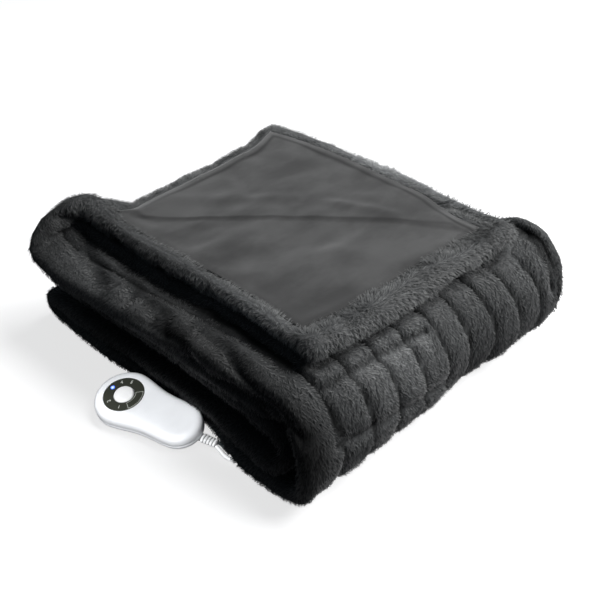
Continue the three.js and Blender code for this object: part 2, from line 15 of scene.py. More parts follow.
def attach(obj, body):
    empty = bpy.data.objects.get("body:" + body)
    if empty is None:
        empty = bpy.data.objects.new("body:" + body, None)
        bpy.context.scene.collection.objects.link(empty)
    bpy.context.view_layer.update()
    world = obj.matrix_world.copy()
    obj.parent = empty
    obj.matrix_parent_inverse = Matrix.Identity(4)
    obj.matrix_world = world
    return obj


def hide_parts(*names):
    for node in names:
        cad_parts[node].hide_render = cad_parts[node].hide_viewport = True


bl_info = {
    "name": "Electric Throw",
    "version": (1, 0, 0),
    "blender": (4, 5, 0),
    "location": "View3D > Sidebar > Throw",
    "description": "Builds a folded faux-fur electric throw with its wired hand control",
    "category": "Add Mesh",
}

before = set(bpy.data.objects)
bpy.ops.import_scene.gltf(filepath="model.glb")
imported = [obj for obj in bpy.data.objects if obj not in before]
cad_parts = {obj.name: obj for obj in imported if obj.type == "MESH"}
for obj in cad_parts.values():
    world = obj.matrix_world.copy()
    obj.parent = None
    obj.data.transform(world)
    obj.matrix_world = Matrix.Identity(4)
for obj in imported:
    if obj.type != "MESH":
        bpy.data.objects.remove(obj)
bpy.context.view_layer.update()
MM = 0.001
# How far the cloth and the shells stay above the floor, in millimetres.
FLOOR_CLEAR = 0.2

# ---- sizes shared with the solids, in millimetres ----

LAYER, TOP_LAYER = 25.0, 14.0
HEM, HEM_LIFT = 26.0, 2.0
TURN_STEPS = 4
RIB_PITCH, RIB_COUNT, RIB_FIRST = 43.0, 9, -169.0
CHANNEL_HALF, HEM_CHANNEL = 7.0, 212.0
NEAR_EDGE, FAR_EDGE = -214.0, 230.0
TUNNEL_RISE = 7.5

EDGE_AT = (-200, -70, 66, 145)
# Each layer's name, middle height, start and end along X, steps, and its side hems at EDGE_AT.
Layer = namedtuple("Layer", "name height start end steps near far")
LAYERS = (
    Layer("top", 149.5, 172, -166, 9, (-165, -166, -160, -163), (190, 209, 203, 185)),
    Layer("second", 123.5, -166, 165, 8, (-241, -236, -222, -212), (196, 206, 208, 214)),
    Layer("bottom", 12.5, 190, -212, 0, (-221, -221, -202.5, -225), (216, 222, 224, 226)),
    Layer("fifth", 40.5, -212, 200, 4, (-225, -220, -207, -227), (222, 226, 228, 230)),
    Layer("fourth", 68, 200, -203, 3, (-219, -204, -199, -206), (214, 218, 220, 222)),
    Layer("third", 95.5, -203, 190, 4, (-223, -217, -212, -210), (206, 214, 218, 222)),
)
TOP = LAYERS[0]
# The front hem's places along X and its thickness there.
FRONT_HEM = ((198, HEM), (185, HEM - 2))
# The round front, from the second layer down to the floor: x, z and the hems at its near and far sides.
BULGE = (
    (190, 122.5, -208, 220),
    (208, 118, -209, 226),
    (218, 113, -211, 230),
    (228, 106, -213, 233),
    (240, 91, -218, 236),
    (248, 73, -222, 235),
    (251.5, 56, -225, 233),
    (250, 42, -227, 229),
    (247, 33, -228, 225),
    (240, 23, -228, 222),
    (222, 14.5, -227, 220),
)
# Places along the underside, and 1 where it arches over the leads.
FLOOR_RUN = ((190, 0), (160, 0), (154, 1), (110, 1), (104, 0), (50, 0), (-60, 0), (-150, 0), (-212, 0))
# How far the back and the front of the upper part shift along X, by the place along Y.
BACK_EDGE = ((-240, 0), (-138, 2), (-54, -6), (19, -12), (91, -20), (190, -50))
FRONT_EDGE = ((-180, -8), (-140, -4), (-78, 3), (40, 5), (130, 8), (200, 3))
# How the stack has settled: shares of the height first, then shifts in millimetres.
NEAR_DROOP, FAR_DROOP, SLUMP, WAVE = 0.15, 0.13, 0.012, 0.016
LIP_RISE, LIP_FROM, LIP_TO = 0.2, 194, 214
LOBE_SHIFT, LOBE_PUFF, LOBE_FROM, LOBE_TO = -54, 37, -110, -150
TUCK_RISE, GATHER = 14, -18
FRONT_LEAN, FRONT_DENT, FRONT_STEP = 0.010, 9, 2.5
# The heights between which the upper part and the top layer begin.
UPPER_FROM, TOP_FROM = (108, 111), (136.5, 138.5)

# ---- sizes of the cloth under the fur, in millimetres ----

# How far the ground lies inside the solid under the pile and under the lining, half the slit between
# its plies, and its least half thickness.
PILE_INSET, BARE_INSET, PLY_SLIT, LEAST_PLY = 1.8, 1.5, 0.5, 2.4
# How square the fourth layer's turn is, how deep the second layer's ribs are, and how full the far hem is.
BLUNT_TURN, SECOND_RIBS, FAR_HEM_SHARE = 0.45, 0.8, 0.6
# The roll of the top layer's back turn, and how much of the cloth the arch over the leads may take.
BACK_ROLL, BACK_ROLL_AT, BACK_ROLL_WIDE = 5.0, -170, 7
TUNNEL_SHARE = 0.7


def ease(t):
    """A smooth step from 0 to 1."""
    u = np.clip(t, 0, 1)
    return u * u * (3 - 2 * u)


def between(value, start, end):
    """A smooth step from 0 at start to 1 at end."""
    return ease((value - start) / (end - start))


def hump(off, width):
    """1 where off is 0, falling smoothly to 0 about two widths away."""
    return np.exp(-((off / width) ** 2))


def lookup(rows, at):
    """A value from (key, value) rows, eased from one row to the next."""
    keys = np.array([row[0] for row in rows], float)
    values = np.array([row[1] for row in rows], float)
    at = np.clip(at, keys[0], keys[-1])
    low = np.clip(np.searchsorted(keys, at, side="right") - 1, 0, len(keys) - 2)
    share = ease((at - keys[low]) / (keys[low + 1] - keys[low]))
    return values[low] + (values[low + 1] - values[low]) * share


def side_hems(layer, x):
    """A layer's near and far hems at x."""
    return [lookup(list(zip(EDGE_AT, values)), x) for values in (layer.near, layer.far)]


def panel_sides(x):
    """The lining's near and far edges at x."""
    near, far = side_hems(TOP, x)
    return near + PANEL_NEAR_INSET, far - PANEL_FAR_INSET


def settle(x, y, z):
    """Lets points of the straight stack sink, shift and swell as the real stack has."""
    near_droop = NEAR_DROOP * np.clip((-152 - y) / 88, 0, 1.1) ** 2
    far_droop = FAR_DROOP * np.clip((y - 168) / 64, 0, 1.1) ** 2 * (1 - 0.9 * between(x, 110, 180))
    lip = LIP_RISE * between(y, LIP_FROM, LIP_TO) * between(x, 150, 195)
    wave = WAVE * np.sin(x / 52 + 0.8) * between(y, -120, -210)
    slump = SLUMP * np.cos(x / 120) * np.cos(y / 110)
    upper_back = between(x, -40, -150) * between(z, *UPPER_FROM)
    corner = between(y, LOBE_FROM, LOBE_TO) * upper_back
    lobe = LOBE_SHIFT * corner * (0.5 + 0.5 * between(z, 152, 124))
    puff = LOBE_PUFF * corner * between(x, -160, -190)
    back = lookup(BACK_EDGE, y) * upper_back
    on_top = between(z, *TOP_FROM)
    front = lookup(FRONT_EDGE, y) * between(x, 90, 170) * on_top
    fan = FRONT_LEAN * y - FRONT_DENT * hump(y - 60, 60) - FRONT_STEP * between(y, 60, 0)
    fan = fan * between(x, 150, 230) * (1 - on_top)
    near_end = between(y, -150, -195)
    tuck = near_end * between(x, -150, -185) * between(z, 50, 85) * (1 - between(z, *UPPER_FROM))
    gather = GATHER * hump(z - 53, 14) * near_end * between(x, -185, -205)
    height = z * (1 - near_droop - far_droop + lip + wave - slump) + puff * (1 - 0.28 * on_top)
    height = height + TUCK_RISE * tuck
    return np.stack(np.broadcast_arrays(x + back + lobe + front + fan + gather, y, height), axis=-1)


def ripple(points, scale, seed, waves=7):
    """Smooth noise between about -1 and 1, scale millimetres across, the same every time."""
    rng = np.random.default_rng(seed)
    total = np.zeros(len(points))
    for _ in range(waves):
        way = rng.normal(size=3)
        way *= rng.uniform(0.7, 1.4) / np.linalg.norm(way)
        total += np.sin(points @ way * (2 * math.pi / scale) + rng.uniform(0, 7))
    return total / math.sqrt(waves)


# ---- making, finishing and colouring pieces ----


def start_ring(bm, points):
    """The first closed ring of a piece, in millimetres."""
    ring = [bm.verts.new(Vector(point) * MM) for point in points]
    for pair in zip(ring, ring[1:] + ring[:1]):
        bm.edges.new(pair)
    return ring


def extruded(bm, ring):
    """Extrudes a closed ring of points once and gives the new ring in the same order."""
    edges = [bm.edges.get(pair) for pair in zip(ring, ring[1:] + ring[:1])]
    made = bmesh.ops.extrude_edge_only(bm, edges=edges)["geom"]
    fresh = {item for item in made if isinstance(item, bmesh.types.BMVert)}
    step = {}
    for vert in fresh:
        for edge in vert.link_edges:
            other = edge.other_vert(vert)
            if other not in fresh:
                step[other] = vert
    return [step[vert] for vert in ring]


def put_in_order(bm):
    """Orders edges and faces by their points, because an extrusion leaves them in another order each run."""
    bm.verts.index_update()
    many = len(bm.verts)
    for parts in (bm.edges, bm.faces):
        parts.sort(
            key=lambda part: sum(
                number * many ** (2 - k) for k, number in enumerate(sorted(v.index for v in part.verts)[:3])
            )
        )
        parts.index_update()


def mesh_from(bm, name, smooth=True):
    """A bmesh as a mesh with its normals outwards."""
    put_in_order(bm)
    bmesh.ops.recalc_face_normals(bm, faces=bm.faces[:])
    mesh = bpy.data.meshes.new(name)
    bm.to_mesh(mesh)
    bm.free()
    if smooth:
        mesh.shade_smooth()
    return mesh


def ring_piece(name, rings):
    """A smooth closed piece extruded ring by ring, with both ends capped."""
    bm = bmesh.new()
    ring = start_ring(bm, rings[0])
    bm.faces.new(ring)
    for points in rings[1:]:
        ring = extruded(bm, ring)
        for vert, point in zip(ring, points):
            vert.co = Vector(point) * MM
    bm.faces.new(ring)
    return mesh_from(bm, name)


def spun_piece(name, profile, steps, smooth=True):
    """A profile of (radius, height) in millimetres spun round the upright axis."""
    bm = bmesh.new()
    verts = [bm.verts.new((radius * MM, 0, height * MM)) for radius, height in profile]
    edges = [bm.edges.new(pair) for pair in zip(verts[:-1], verts[1:])]
    bmesh.ops.spin(
        bm, geom=verts + edges, cent=(0, 0, 0), axis=(0, 0, 1), angle=2 * math.pi,
        steps=steps, use_merge=True,
    )
    bmesh.ops.remove_doubles(bm, verts=bm.verts[:], dist=1e-7)
    return mesh_from(bm, name, smooth)


def in_scene(name, data):
    """A new object in the scene."""
    obj = bpy.data.objects.new(name, data)
    bpy.context.scene.collection.objects.link(obj)
    return obj


def new_object(name, mesh, finish, body="throw_set"):
    """A mesh or a curve as a piece with a finish that rides on a body."""
    mesh.materials.append(finish)
    obj = in_scene(name, mesh)
    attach(obj, body)
    return obj


def baked_mesh(obj):
    """A new mesh of an object as it looks with its modifiers."""
    depsgraph = bpy.context.evaluated_depsgraph_get()
    return bpy.data.meshes.new_from_object(obj.evaluated_get(depsgraph))


def finished(obj):
    """Applies an object's modifiers and gives its mesh."""
    mesh = baked_mesh(obj)
    obj.modifiers.clear()
    obj.data = mesh
    return mesh


def coords_of(mesh):
    """A mesh's points in millimetres, and its point normals."""
    points, normals = np.empty((2, len(mesh.vertices) * 3), np.float32)
    mesh.vertices.foreach_get("co", points)
    mesh.vertices.foreach_get("normal", normals)
    return points.reshape(-1, 3).astype(float) / MM, normals.reshape(-1, 3).astype(float)


def set_coords(mesh, points):
    """Moves a mesh's points, given in millimetres."""
    mesh.vertices.foreach_set("co", (points * MM).astype(np.float32).ravel())
    mesh.update()


def attribute_of(mesh, name):
    """A float attribute of a mesh's points."""
    values = np.empty(len(mesh.vertices), np.float32)
    mesh.attributes[name].data.foreach_get("value", values)
    return values.astype(float)


def set_attribute(mesh, name, values):
    """Gives a mesh's points a new float attribute."""
    data = mesh.attributes.new(name, "FLOAT", "POINT").data
    data.foreach_set("value", np.asarray(values, np.float32))


# ---- the cloth under the fur ----


def cloth_stations():
    """Rows along the cloth's middle line: x, z, thickness, near, far, ribs, tunnel, hem."""
    rows = []

    def add(x, z, thick, near, far, ribs=0.0, tunnel=0.0, hem=0.0):
        rows.append((x, z, thick, near, far, ribs, tunnel, hem))

    def run(layer):
        on_top = layer is TOP
        thick = TOP_LAYER if on_top else LAYER
        ribs = SECOND_RIBS if layer.name == "second" else 0.0
        for i in range(layer.steps + 1):
            x = layer.start + (layer.end - layer.start) * i / layer.steps
            add(x, layer.height, thick, *side_hems(layer, x), ribs, hem=float(on_top))

    def turn(before, after, side):
        from_top = before is TOP
        drop = before.height - after.height
        bluntness = BLUNT_TURN if before.name == "fourth" else 1
        for i in range(1, TURN_STEPS):
            t = i / TURN_STEPS
            x = before.end + side * abs(drop) / 2 * math.sin(math.pi * t) ** bluntness
            z = (before.height + after.height) / 2 + drop / 2 * math.cos(math.pi * t)
            ends = zip(side_hems(before, before.end), side_hems(after, after.start))
            near, far = (was + (then - was) * ease(t) for was, then in ends)
            thick = TOP_LAYER + (LAYER - 2 - TOP_LAYER) * t if from_top else LAYER
            add(x, z, thick, near, far, ribs=t if from_top else 0.0, hem=1 - t if from_top else 0.0)

    top, second, bottom, fifth, fourth, third = LAYERS
    for x, thick in FRONT_HEM:
        add(x, top.height + HEM_LIFT, thick, *side_hems(top, x), hem=1.0)
    run(top)
    turn(top, second, -1)
    run(second)
    for x, z, near, far in BULGE:
        add(x, z, LAYER, near, far, ribs=1.0)
    for x, tunnel in FLOOR_RUN:
        add(x, bottom.height, LAYER, *side_hems(bottom, x), tunnel=tunnel)
    turn(bottom, fifth, -1)
    run(fifth)
    turn(fifth, fourth, 1)
    run(fourth)
    turn(fourth, third, -1)
    run(third)
    return np.array(rows)


def cloth_columns():
    """Columns across the cloth: place, hem side, arc in degrees, and part (0 the fur side, 1 the slit)."""
    columns = [(NEAR_EDGE, 1, arc, 0) for arc in (0, 30, 60, 90)]
    for i in range(RIB_COUNT):
        y = RIB_FIRST + i * RIB_PITCH
        columns += [(y + step, 0, 90, 0) for step in (-CHANNEL_HALF, 0, CHANNEL_HALF)]
    columns += [(HEM_CHANNEL - CHANNEL_HALF, 0, 90, 0), (HEM_CHANNEL, 0, 90, 0)]
    columns += [(FAR_EDGE, -1, arc, 0) for arc in (90, 55, 0)]
    columns += [(FAR_EDGE, -1, 55, 1), (FAR_EDGE, -1, 90, 1)]
    columns += [(v, 0, 90, 1) for v in (150, 60, -30, -100, -145, -185)]
    columns.append((NEAR_EDGE + 16, 0, 0, 1))
    return columns


def cloth_ring(stations, column):
    """One ring of points round the folded section at a column, with their ribs and hem."""
    v, hem_side, arc, part = column
    x, z, thick, near, far, ribs, tunnel, hem = stations.T
    along = np.gradient(stations[:, :2], axis=0)
    along[np.abs(np.gradient(tunnel)) > 0] = (-1, 0)
    along /= np.linalg.norm(along, axis=1, keepdims=True)
    normal = np.stack([-along[:, 1], along[:, 0]], axis=1)
    last = len(stations) - 1
    index = np.concatenate([np.arange(last + 1), [last] * 3, np.arange(last, -1, -1), [0] * 3])
    side = np.concatenate([np.ones(last + 1), [1, 1, -1], -np.ones(last + 1), [-1, -1, 1]])
    lean = np.concatenate([np.zeros(last + 1), [0.7, 1, 0.7], np.zeros(last + 1), [-0.7, -1, -0.7]])
    sin, cos = math.sin(math.radians(arc)), math.cos(math.radians(arc))
    fullness = hem * (1 if hem_side > 0 else FAR_HEM_SHARE) if hem_side else 0 * hem
    outer = (thick + (HEM - 2 - thick) * fullness) / 2
    bare = (hem > 0.9) & (fullness == 0) & (thick < HEM - 3)
    skin = np.maximum(outer - PILE_INSET, LEAST_PLY)
    skin_up = np.where(bare, outer - BARE_INSET, skin)
    y = near + (v - NEAR_EDGE) * ((far - near) / (FAR_EDGE - NEAR_EDGE))
    if hem_side > 0:
        y = near + PILE_INSET + skin * (1 - cos)
    elif hem_side < 0:
        y = far - PILE_INSET - LEAST_PLY * (1 - cos)
    y = y[index]
    fur = np.where(side > 0, skin[index], skin_up[index])
    ply = (fur + PLY_SLIT) / 2
    if part:
        reach = ply - (ply - PLY_SLIT) * sin if hem_side else PLY_SLIT * sin
    elif hem_side < 0:
        reach = ply + (fur - ply) * sin
    else:
        reach = fur * sin
    if not part and not hem_side:
        under = (hem[index] > 0.3) * (side < 0)
        reach = reach + BACK_ROLL * (hump(x[index] - BACK_ROLL_AT, BACK_ROLL_WIDE) * under)
    if not part:
        arch = np.minimum(TUNNEL_RISE * tunnel[index], fur * TUNNEL_SHARE)
        reach = reach - np.where(side > 0, arch * sin, 0)
    out = normal[index] * (side * reach * np.sqrt(1 - lean**2))[:, None]
    out += along[index] * (lean * reach)[:, None]
    lift = HEM_LIFT * 0.5 * (hem[index] > 0) * (hem_side != 0)
    points = settle(x[index] + out[:, 0], y, z[index] + out[:, 1] + lift)
    points[:, 2] = np.maximum(points[:, 2], FLOOR_CLEAR)
    return points, ribs[index] * (part == 0), hem[index]


def weave_cloth(name):
    """The folded cloth as one closed skin: a ring round its section, extruded across and back inside."""
    stations = cloth_stations()
    bm = bmesh.new()
    layers = [bm.verts.layers.float.new(key) for key in ("across", "ribs", "hem", "outer")]
    ring = []
    for column in cloth_columns():
        points, ribs, hem = cloth_ring(stations, column)
        ring = extruded(bm, ring) if ring else start_ring(bm, points)
        for vert, point, rib, edge in zip(ring, points, ribs, hem):
            vert.co = point * MM
            for layer, value in zip(layers, (column[0], rib, edge, column[3] == 0)):
                vert[layer] = value
    bmesh.ops.remove_doubles(bm, verts=bm.verts[:], dist=1e-6)
    return mesh_from(bm, name, smooth=False)


class Finish:
    """A node material under construction: its Principled shader and the helpers that feed it."""

    def __init__(self, name, **constants):
        self.material = bpy.data.materials.new(name)
        self.material.use_nodes = True
        self.tree = self.material.node_tree
        self.tree.nodes.clear()
        self.output = self.add("OutputMaterial")
        self.shader = self.add("BsdfPrincipled")
        self.tree.links.new(self.shader.outputs["BSDF"], self.output.inputs["Surface"])
        self.place = self.add("TexCoord").outputs["Object"]
        for key, value in constants.items():
            self.shader.inputs[key.replace("_", " ").title().replace("Ior", "IOR")].default_value = value

    def add(self, kind, inputs=None, **settings):
        """A node with its settings, and its inputs given as values or as other nodes' outputs."""
        node = self.tree.nodes.new("ShaderNode" + kind)
        for key, value in settings.items():
            setattr(node, key, value)
        for key, value in (inputs or {}).items():
            if isinstance(value, bpy.types.NodeSocket):
                self.tree.links.new(value, node.inputs[key])
            else:
                node.inputs[key].default_value = value
        return node

    def feed(self, source, socket):
        """Links an output to a socket of the shader."""
        self.tree.links.new(source, self.shader.inputs[socket])

    def noise(self, scale, detail=3.0, stretch=(1, 1, 1), roughness=0.6):
        """Noise in object space; scale is features a metre."""
        place = self.add("Mapping", {"Vector": self.place, "Scale": stretch}).outputs["Vector"]
        inputs = {"Vector": place, "Scale": scale, "Detail": detail, "Roughness": roughness}
        return self.add("TexNoise", inputs).outputs["Fac"]

    def attribute(self, name):
        return self.add("Attribute", attribute_name=name).outputs["Fac"]

    def ramp(self, value, stops):
        """Colours at (position, colour) stops, chosen by a value."""
        node = self.add("ValToRGB", {"Fac": value})
        elements = node.color_ramp.elements
        while len(elements) < len(stops):
            elements.new(0.5)
        for element, (position, colour) in zip(elements, stops):
            element.position = position
            element.color = (*colour, 1)
        return node.outputs["Color"]

    def scaled(self, value, low, high):
        """A value from 0 to 1 spread from low to high."""
        return self.add("MapRange", {"Value": value, "To Min": low, "To Max": high}).outputs["Result"]

    def times(self, a, b):
        return self.add("Math", {0: a, 1: b}, operation="MULTIPLY").outputs["Value"]

    def shaded(self, colour, value):
        """A colour multiplied by a value."""
        inputs = {"Fac": 1, "Color1": colour, "Color2": value}
        return self.add("MixRGB", inputs, blend_type="MULTIPLY").outputs["Color"]

    def tufted(self, colour, attribute):
        """Feeds the base colour: a colour made uneven by an attribute and from patch to patch."""
        patch = self.scaled(self.noise(26), 0.78, 1.22)
        self.feed(self.shaded(colour, self.times(self.attribute(attribute), patch)), "Base Color")

    def bump(self, height, strength, distance):
        inputs = {"Strength": strength, "Distance": distance, "Height": height}
        self.feed(self.add("Bump", inputs).outputs["Normal"], "Normal")


def mixed(first, second, share):
    """A colour between two others."""
    return tuple(a + (b - a) * share for a, b in zip(first, second))


def tinted(colour, share):
    """A colour made darker or lighter, never past white."""
    return tuple(min(share * value, 1) for value in colour)


def plush_finish(settings):
    """Faux-fur pile: dark at the root and lighter at the tip, as painted shade deep in the pile and painted
    light at the tips, and uneven from tuft to tuft.
    """
    finish = Finish(
        "charcoal_plush", roughness=0.62, specular_ior_level=0.32, sheen_weight=0.12, sheen_roughness=0.5
    )
    root, tip = settings.root_colour, settings.tip_colour
    stops = ((0.0, root), (0.5, mixed(root, tip, 0.45)), (1.0, tip))
    finish.tufted(finish.ramp(finish.attribute("tip"), stops), "tone")
    # The strands' own normals hold on both of their sides.
    sides = finish.add("NewGeometry").outputs
    sign = finish.add("Math", {0: sides["Backfacing"], 1: -2, 2: 1}, operation="MULTIPLY_ADD")
    inputs = {0: sides["Normal"], "Scale": sign.outputs["Value"]}
    finish.feed(finish.add("VectorMath", inputs, operation="SCALE").outputs["Vector"], "Normal")
    return finish.material


def backing_finish(settings):
    """The knitted ground that the pile stands in, painted as dark as the shade deep in the pile, with the
    painted shade and light of its shade attribute.
    """
    low, high = (mixed(settings.root_colour, settings.tip_colour, share) for share in (0.12, 0.5))
    finish = Finish("pile_ground", roughness=0.9, specular_ior_level=0.15)
    grain = finish.ramp(finish.noise(520, 5, (1, 1, 0.45), 0.7), ((0.36, low), (0.64, high)))
    finish.tufted(grain, "shade")
    finish.bump(finish.noise(700), 0.6, 0.001)
    return finish.material


def lining_finish(settings):
    """Short-napped knit: a fine even grain with slow cloudy shifts where the nap lies another way."""
    finish = Finish(
        "lining_nap", roughness=0.88, specular_ior_level=0.18, sheen_weight=0.25, sheen_roughness=0.55
    )
    dark, light = tinted(settings.lining_colour, 0.6), tinted(settings.lining_colour, 1.22)
    cloud = finish.ramp(finish.noise(15, 4, (1, 0.55, 1)), ((0.4, dark), (0.6, light)))
    nap = finish.scaled(finish.noise(620, 5, (1, 0.35, 1), 0.75), 0.84, 1.16)
    # The tone attribute brings the lining's painted shade and painted light.
    finish.feed(finish.shaded(cloud, finish.times(nap, finish.attribute("tone"))), "Base Color")
    finish.bump(finish.noise(900, stretch=(1, 0.4, 1)), 0.35, 0.0006)
    return finish.material


def moulding_finish(name, colour, roughness, coat=0.0, grain=2600, bump=0.05, groove_shade=""):
    """Moulded plastic: nearly even, with a faint flow in its gloss, a fine grain and painted shade in its
    grooves.
    """
    finish = Finish(name, coat_weight=coat, coat_roughness=0.12)
    tint = finish.ramp(finish.noise(32), ((0.35, tinted(colour, 0.975)), (0.65, tinted(colour, 1.02))))
    # Painted shade in the grooves, from an attribute.
    if groove_shade:
        tint = finish.shaded(tint, finish.scaled(finish.attribute(groove_shade), 1.0, 0.3))
    finish.feed(tint, "Base Color")
    finish.feed(finish.scaled(finish.noise(70, 4), roughness * 0.85, roughness * 1.2), "Roughness")
    finish.bump(finish.noise(grain, 2), bump, 0.0002)
    return finish.material


def brass_finish():
    """Brass worn by the socket, with fine scratches along the blade."""
    finish = Finish("worn_brass", metallic=1.0)
    stops = ((0.3, (0.62, 0.5, 0.27)), (0.7, (0.78, 0.66, 0.4)))
    finish.feed(finish.ramp(finish.noise(240), stops), "Base Color")
    finish.feed(finish.scaled(finish.noise(900, stretch=(0.2, 1, 1)), 0.2, 0.42), "Roughness")
    return finish.material


def lit_lens_finish(settings):
    """A lit lens, paler in its middle."""
    finish = Finish("lit_lens", roughness=0.12, coat_weight=0.6, coat_roughness=0.05)
    lamp = settings.lamp_colour
    glow = finish.ramp(finish.attribute("core"), ((0.1, lamp), (0.75, mixed(lamp, (1, 1, 1), 0.35))))
    finish.feed(glow, "Base Color")
    finish.feed(glow, "Emission Color")
    finish.shader.inputs["Emission Strength"].default_value = settings.lamp_strength
    return finish.material


# ---- the pile that grows from the cloth ----

# Creases pressed into the cloth: the way each faces, depth, width and the points along it, in millimetres.
CREASES = (
    ("z", 8, 8, (
        (-196, -171, 142), (-134, -172, 138), (-86, -173, 137), (-41, -173, 137), (4, -171, 137),
        (46, -167, 136),
    )),
    ("z", 10, 10, ((46, -167, 136), (85, -165, 133), (131, -165, 130), (172, -166, 128))),
    ("y", 8, 5, ((-210, -187, 154), (-179, -189, 130), (-127, -204, 126), (-83, -219, 122))),
    ("y", 7, 5, ((-49, -163, 150), (-32, -163, 133), (-8, -168, 134), (54, -185, 133), (88, -190, 131))),
    ("y", 8, 4, (
        (62, -191, 132), (103, -195, 130), (131, -205, 125), (183, -207, 115), (212, -208, 108),
        (235, -208, 97),
    )),
    ("y", 7, 7, (
        (5, -221, 122), (59, -217, 122), (108, -206, 98), (157, -202, 99), (191, -206, 85), (208, -204, 64),
    )),
    ("y", 6, 5, ((-141, -163, 146), (-100, -174, 132), (-56, -196, 129), (-40, -208, 122))),
    ("y", 5, 5, ((-56, -196, 129), (-19, -198, 129), (20, -205, 128), (34, -216, 118))),
    ("x", 7, 3.5, ((197, -166, 129), (209, -164, 126), (224, -164, 118), (240, -171, 101), (254, -175, 72))),
    ("x", 8, 4, ((219, -162, 121), (222, -127, 121), (224, -83, 120), (226, -45, 118), (228, -7, 116))),
    ("x", 8, 4, (
        (254, -170, 73), (255, -131, 70), (257, -85, 65), (258, -39, 56), (257, 4, 53), (256, 20, 46),
    )),
    ("z", 6, 5, (
        (193, -153, 139), (200, -56, 140), (205, 28, 140), (207, 78, 141), (208, 130, 142), (203, 179, 142),
    )),
    ("x", 9, 5, (
        (203, 207, 143), (218, 207, 140), (232, 208, 132), (243, 209, 121), (252, 211, 106), (258, 210, 80),
    )),
    ("z", 8, 4, (
        (-190, 168, 157), (-150, 181, 154), (-100, 188, 153), (-42, 183, 154), (9, 178, 154), (69, 174, 155),
        (123, 168, 155),
    )),
)
# How much a distance along each axis counts, for a crease that faces that way.
CREASE_SLACK = {"x": (0.3, 1, 1), "y": (1, 0.3, 1), "z": (1, 1, 0.3)}
# Painted light and shade on the pile, where it is lit more or less: the middle, its reach along X, Y and Z,
# and the change.
PAINTED_LIGHT_AND_SHADE = (
    ((234, -206, 92), (55, 34, 68), -0.78),
    ((75, -206, 126), (115, 26, 25), -0.68),
    ((235, -55, 105), (45, 60, 40), 0.75),
    ((-215, -208, 134), (50, 45, 45), -0.45),
    ((20, 195, 153), (190, 20, 16), 2.2),
    ((-185, 20, 156), (26, 170, 14), 0.5),
    ((0, -208, 52), (230, 34, 38), -0.82),
    ((100, -159, 149), (75, 13, 11), 1.8),
    ((245, 195, 105), (32, 32, 50), 0.4),
)
# The longest edges left near a crease, in metres, at each round of splitting, and the way the points
# are put in order after each.
EDGE_ROUNDS, SORT_WAY = (0.012, 0.007, 0.005), (1.0, 1.618, 2.718)
# How deep a channel is pressed, how deep anything may go, and the height over which both fade at the floor.
CHANNEL_DEPTH, DEEPEST, FLOOR_FADE = 5.5, 7.2, 14
# How far the channels lean along Y as they go down, and how wide they are pressed, shaded and shorn.
CHANNEL_LEAN, PRESSED_WIDTH, SHADED_WIDTH, SHORN_WIDTH = 9, 2.8, 2.9, 3.2
CHANNEL_SHADE, CREASE_SHADE, CREASE_FULL_DEPTH, CREASE_SHADE_WIDTH = 0.92, 0.88, 8, 0.7
# The swelling of the skin: height, wavelength and seed.
SWELLS = ((1.1, 95, 3), (0.9, 36, 4))
# How far the top layer sinks under the lining, from where to where along X, and above what height.
UNDER_PANEL_SINK, UNDER_PANEL_X, UNDER_PANEL_Z = 4, (-150, 172), 146
# The lining: its ends along X, and how far it stays inside the side hems.
PANEL_LOW, PANEL_HIGH, PANEL_NEAR_INSET, PANEL_FAR_INSET = -158, 170, 22.5, 31

# How a triangle is tested for open air: the rays' number, length in metres and spread, and how many
# millimetres off the skin they start.
RAYS, RAY_LENGTH, RAY_SPREAD, OFF_SKIN = 6, 0.02, 0.8, 1.2
# The top layer begins at this height in metres, and its lining lies within this distance above it.
TOP_SKIN, LINING_WITHIN = 0.144, 0.012
FLOOR_TOUCH = 2.5
# A strand's two blades: their shares of its length, the bend between them and the upper one's narrowing.
LOWER_BLADE, UPPER_BLADE, BEND, NARROWING = 0.55, 0.45, 0.18, 0.85
# The way the pile is combed, how much it swirls, and how far single strands stray.
COMB_WAY, SWIRL, STRAY, LEAN_STRAY = (0.2, 0.1, -0.8), 0.32, 0.32, 0.12
SWIRLS = ((120, 21), (90, 22), (110, 23))
TUFT_SIZE, TUFT_PULL = 2.4, 0.3
STRAND_CLEAR = 0.3
# A strand's lean from upright and its slow drift, and how much less it leans on a hem.
LEAN, LEAN_DRIFT, HEM_LEAN_LESS = 1.1, 0.1, 0.08
# How much its length drifts, is shorn in a channel, and stays in full shade.
LENGTH_DRIFT, SHORN, SHADED_LENGTH = 0.12, 0.72, 0.42
# How much narrower it is on a hem, and how far its normal turns up there.
HEM_NARROWER, HEM_LIFT_LIGHT = 0.22, 0.9
# Its tone: the least, and what its tuft and the strand itself may add.
TONE_LEAST, TONE_TUFT, TONE_STRAND = 0.45, 0.7, 0.4
# How far its normal follows the skin and the strand.
FACE_SKIN, FACE_STRAND = 0.9, 0.3


def near_line(points, line):
    """How far each point is from a line through points."""
    best = np.full(len(points), np.inf)
    for a, b in zip(line[:-1], line[1:]):
        span = b - a
        t = np.clip(((points - a) @ span) / (span @ span), 0, 1)
        best = np.minimum(best, np.linalg.norm(points - a - t[:, None] * span, axis=1))
    return best


def in_crease(points, way, width, line):
    """1 on the line of a crease, 0 away from it; depth along the way it faces counts less."""
    slack = np.array(CREASE_SLACK[way])
    return hump(near_line(points * slack, np.array(line) * slack), width)


def channel_share(across, ribs, height, width):
    """1 in the middle of a channel carved in the pile, 0 on a rib. The channels fan out as they go down."""
    from_lean = across - CHANNEL_LEAN * between(height, 125, 55)
    share = np.zeros(len(across))
    for i in range(RIB_COUNT):
        share += hump(from_lean - RIB_FIRST - i * RIB_PITCH, width)
    share += hump(from_lean - HEM_CHANNEL, width + 1)
    return np.clip(share, 0, 1) * np.clip(ribs, 0, 1)


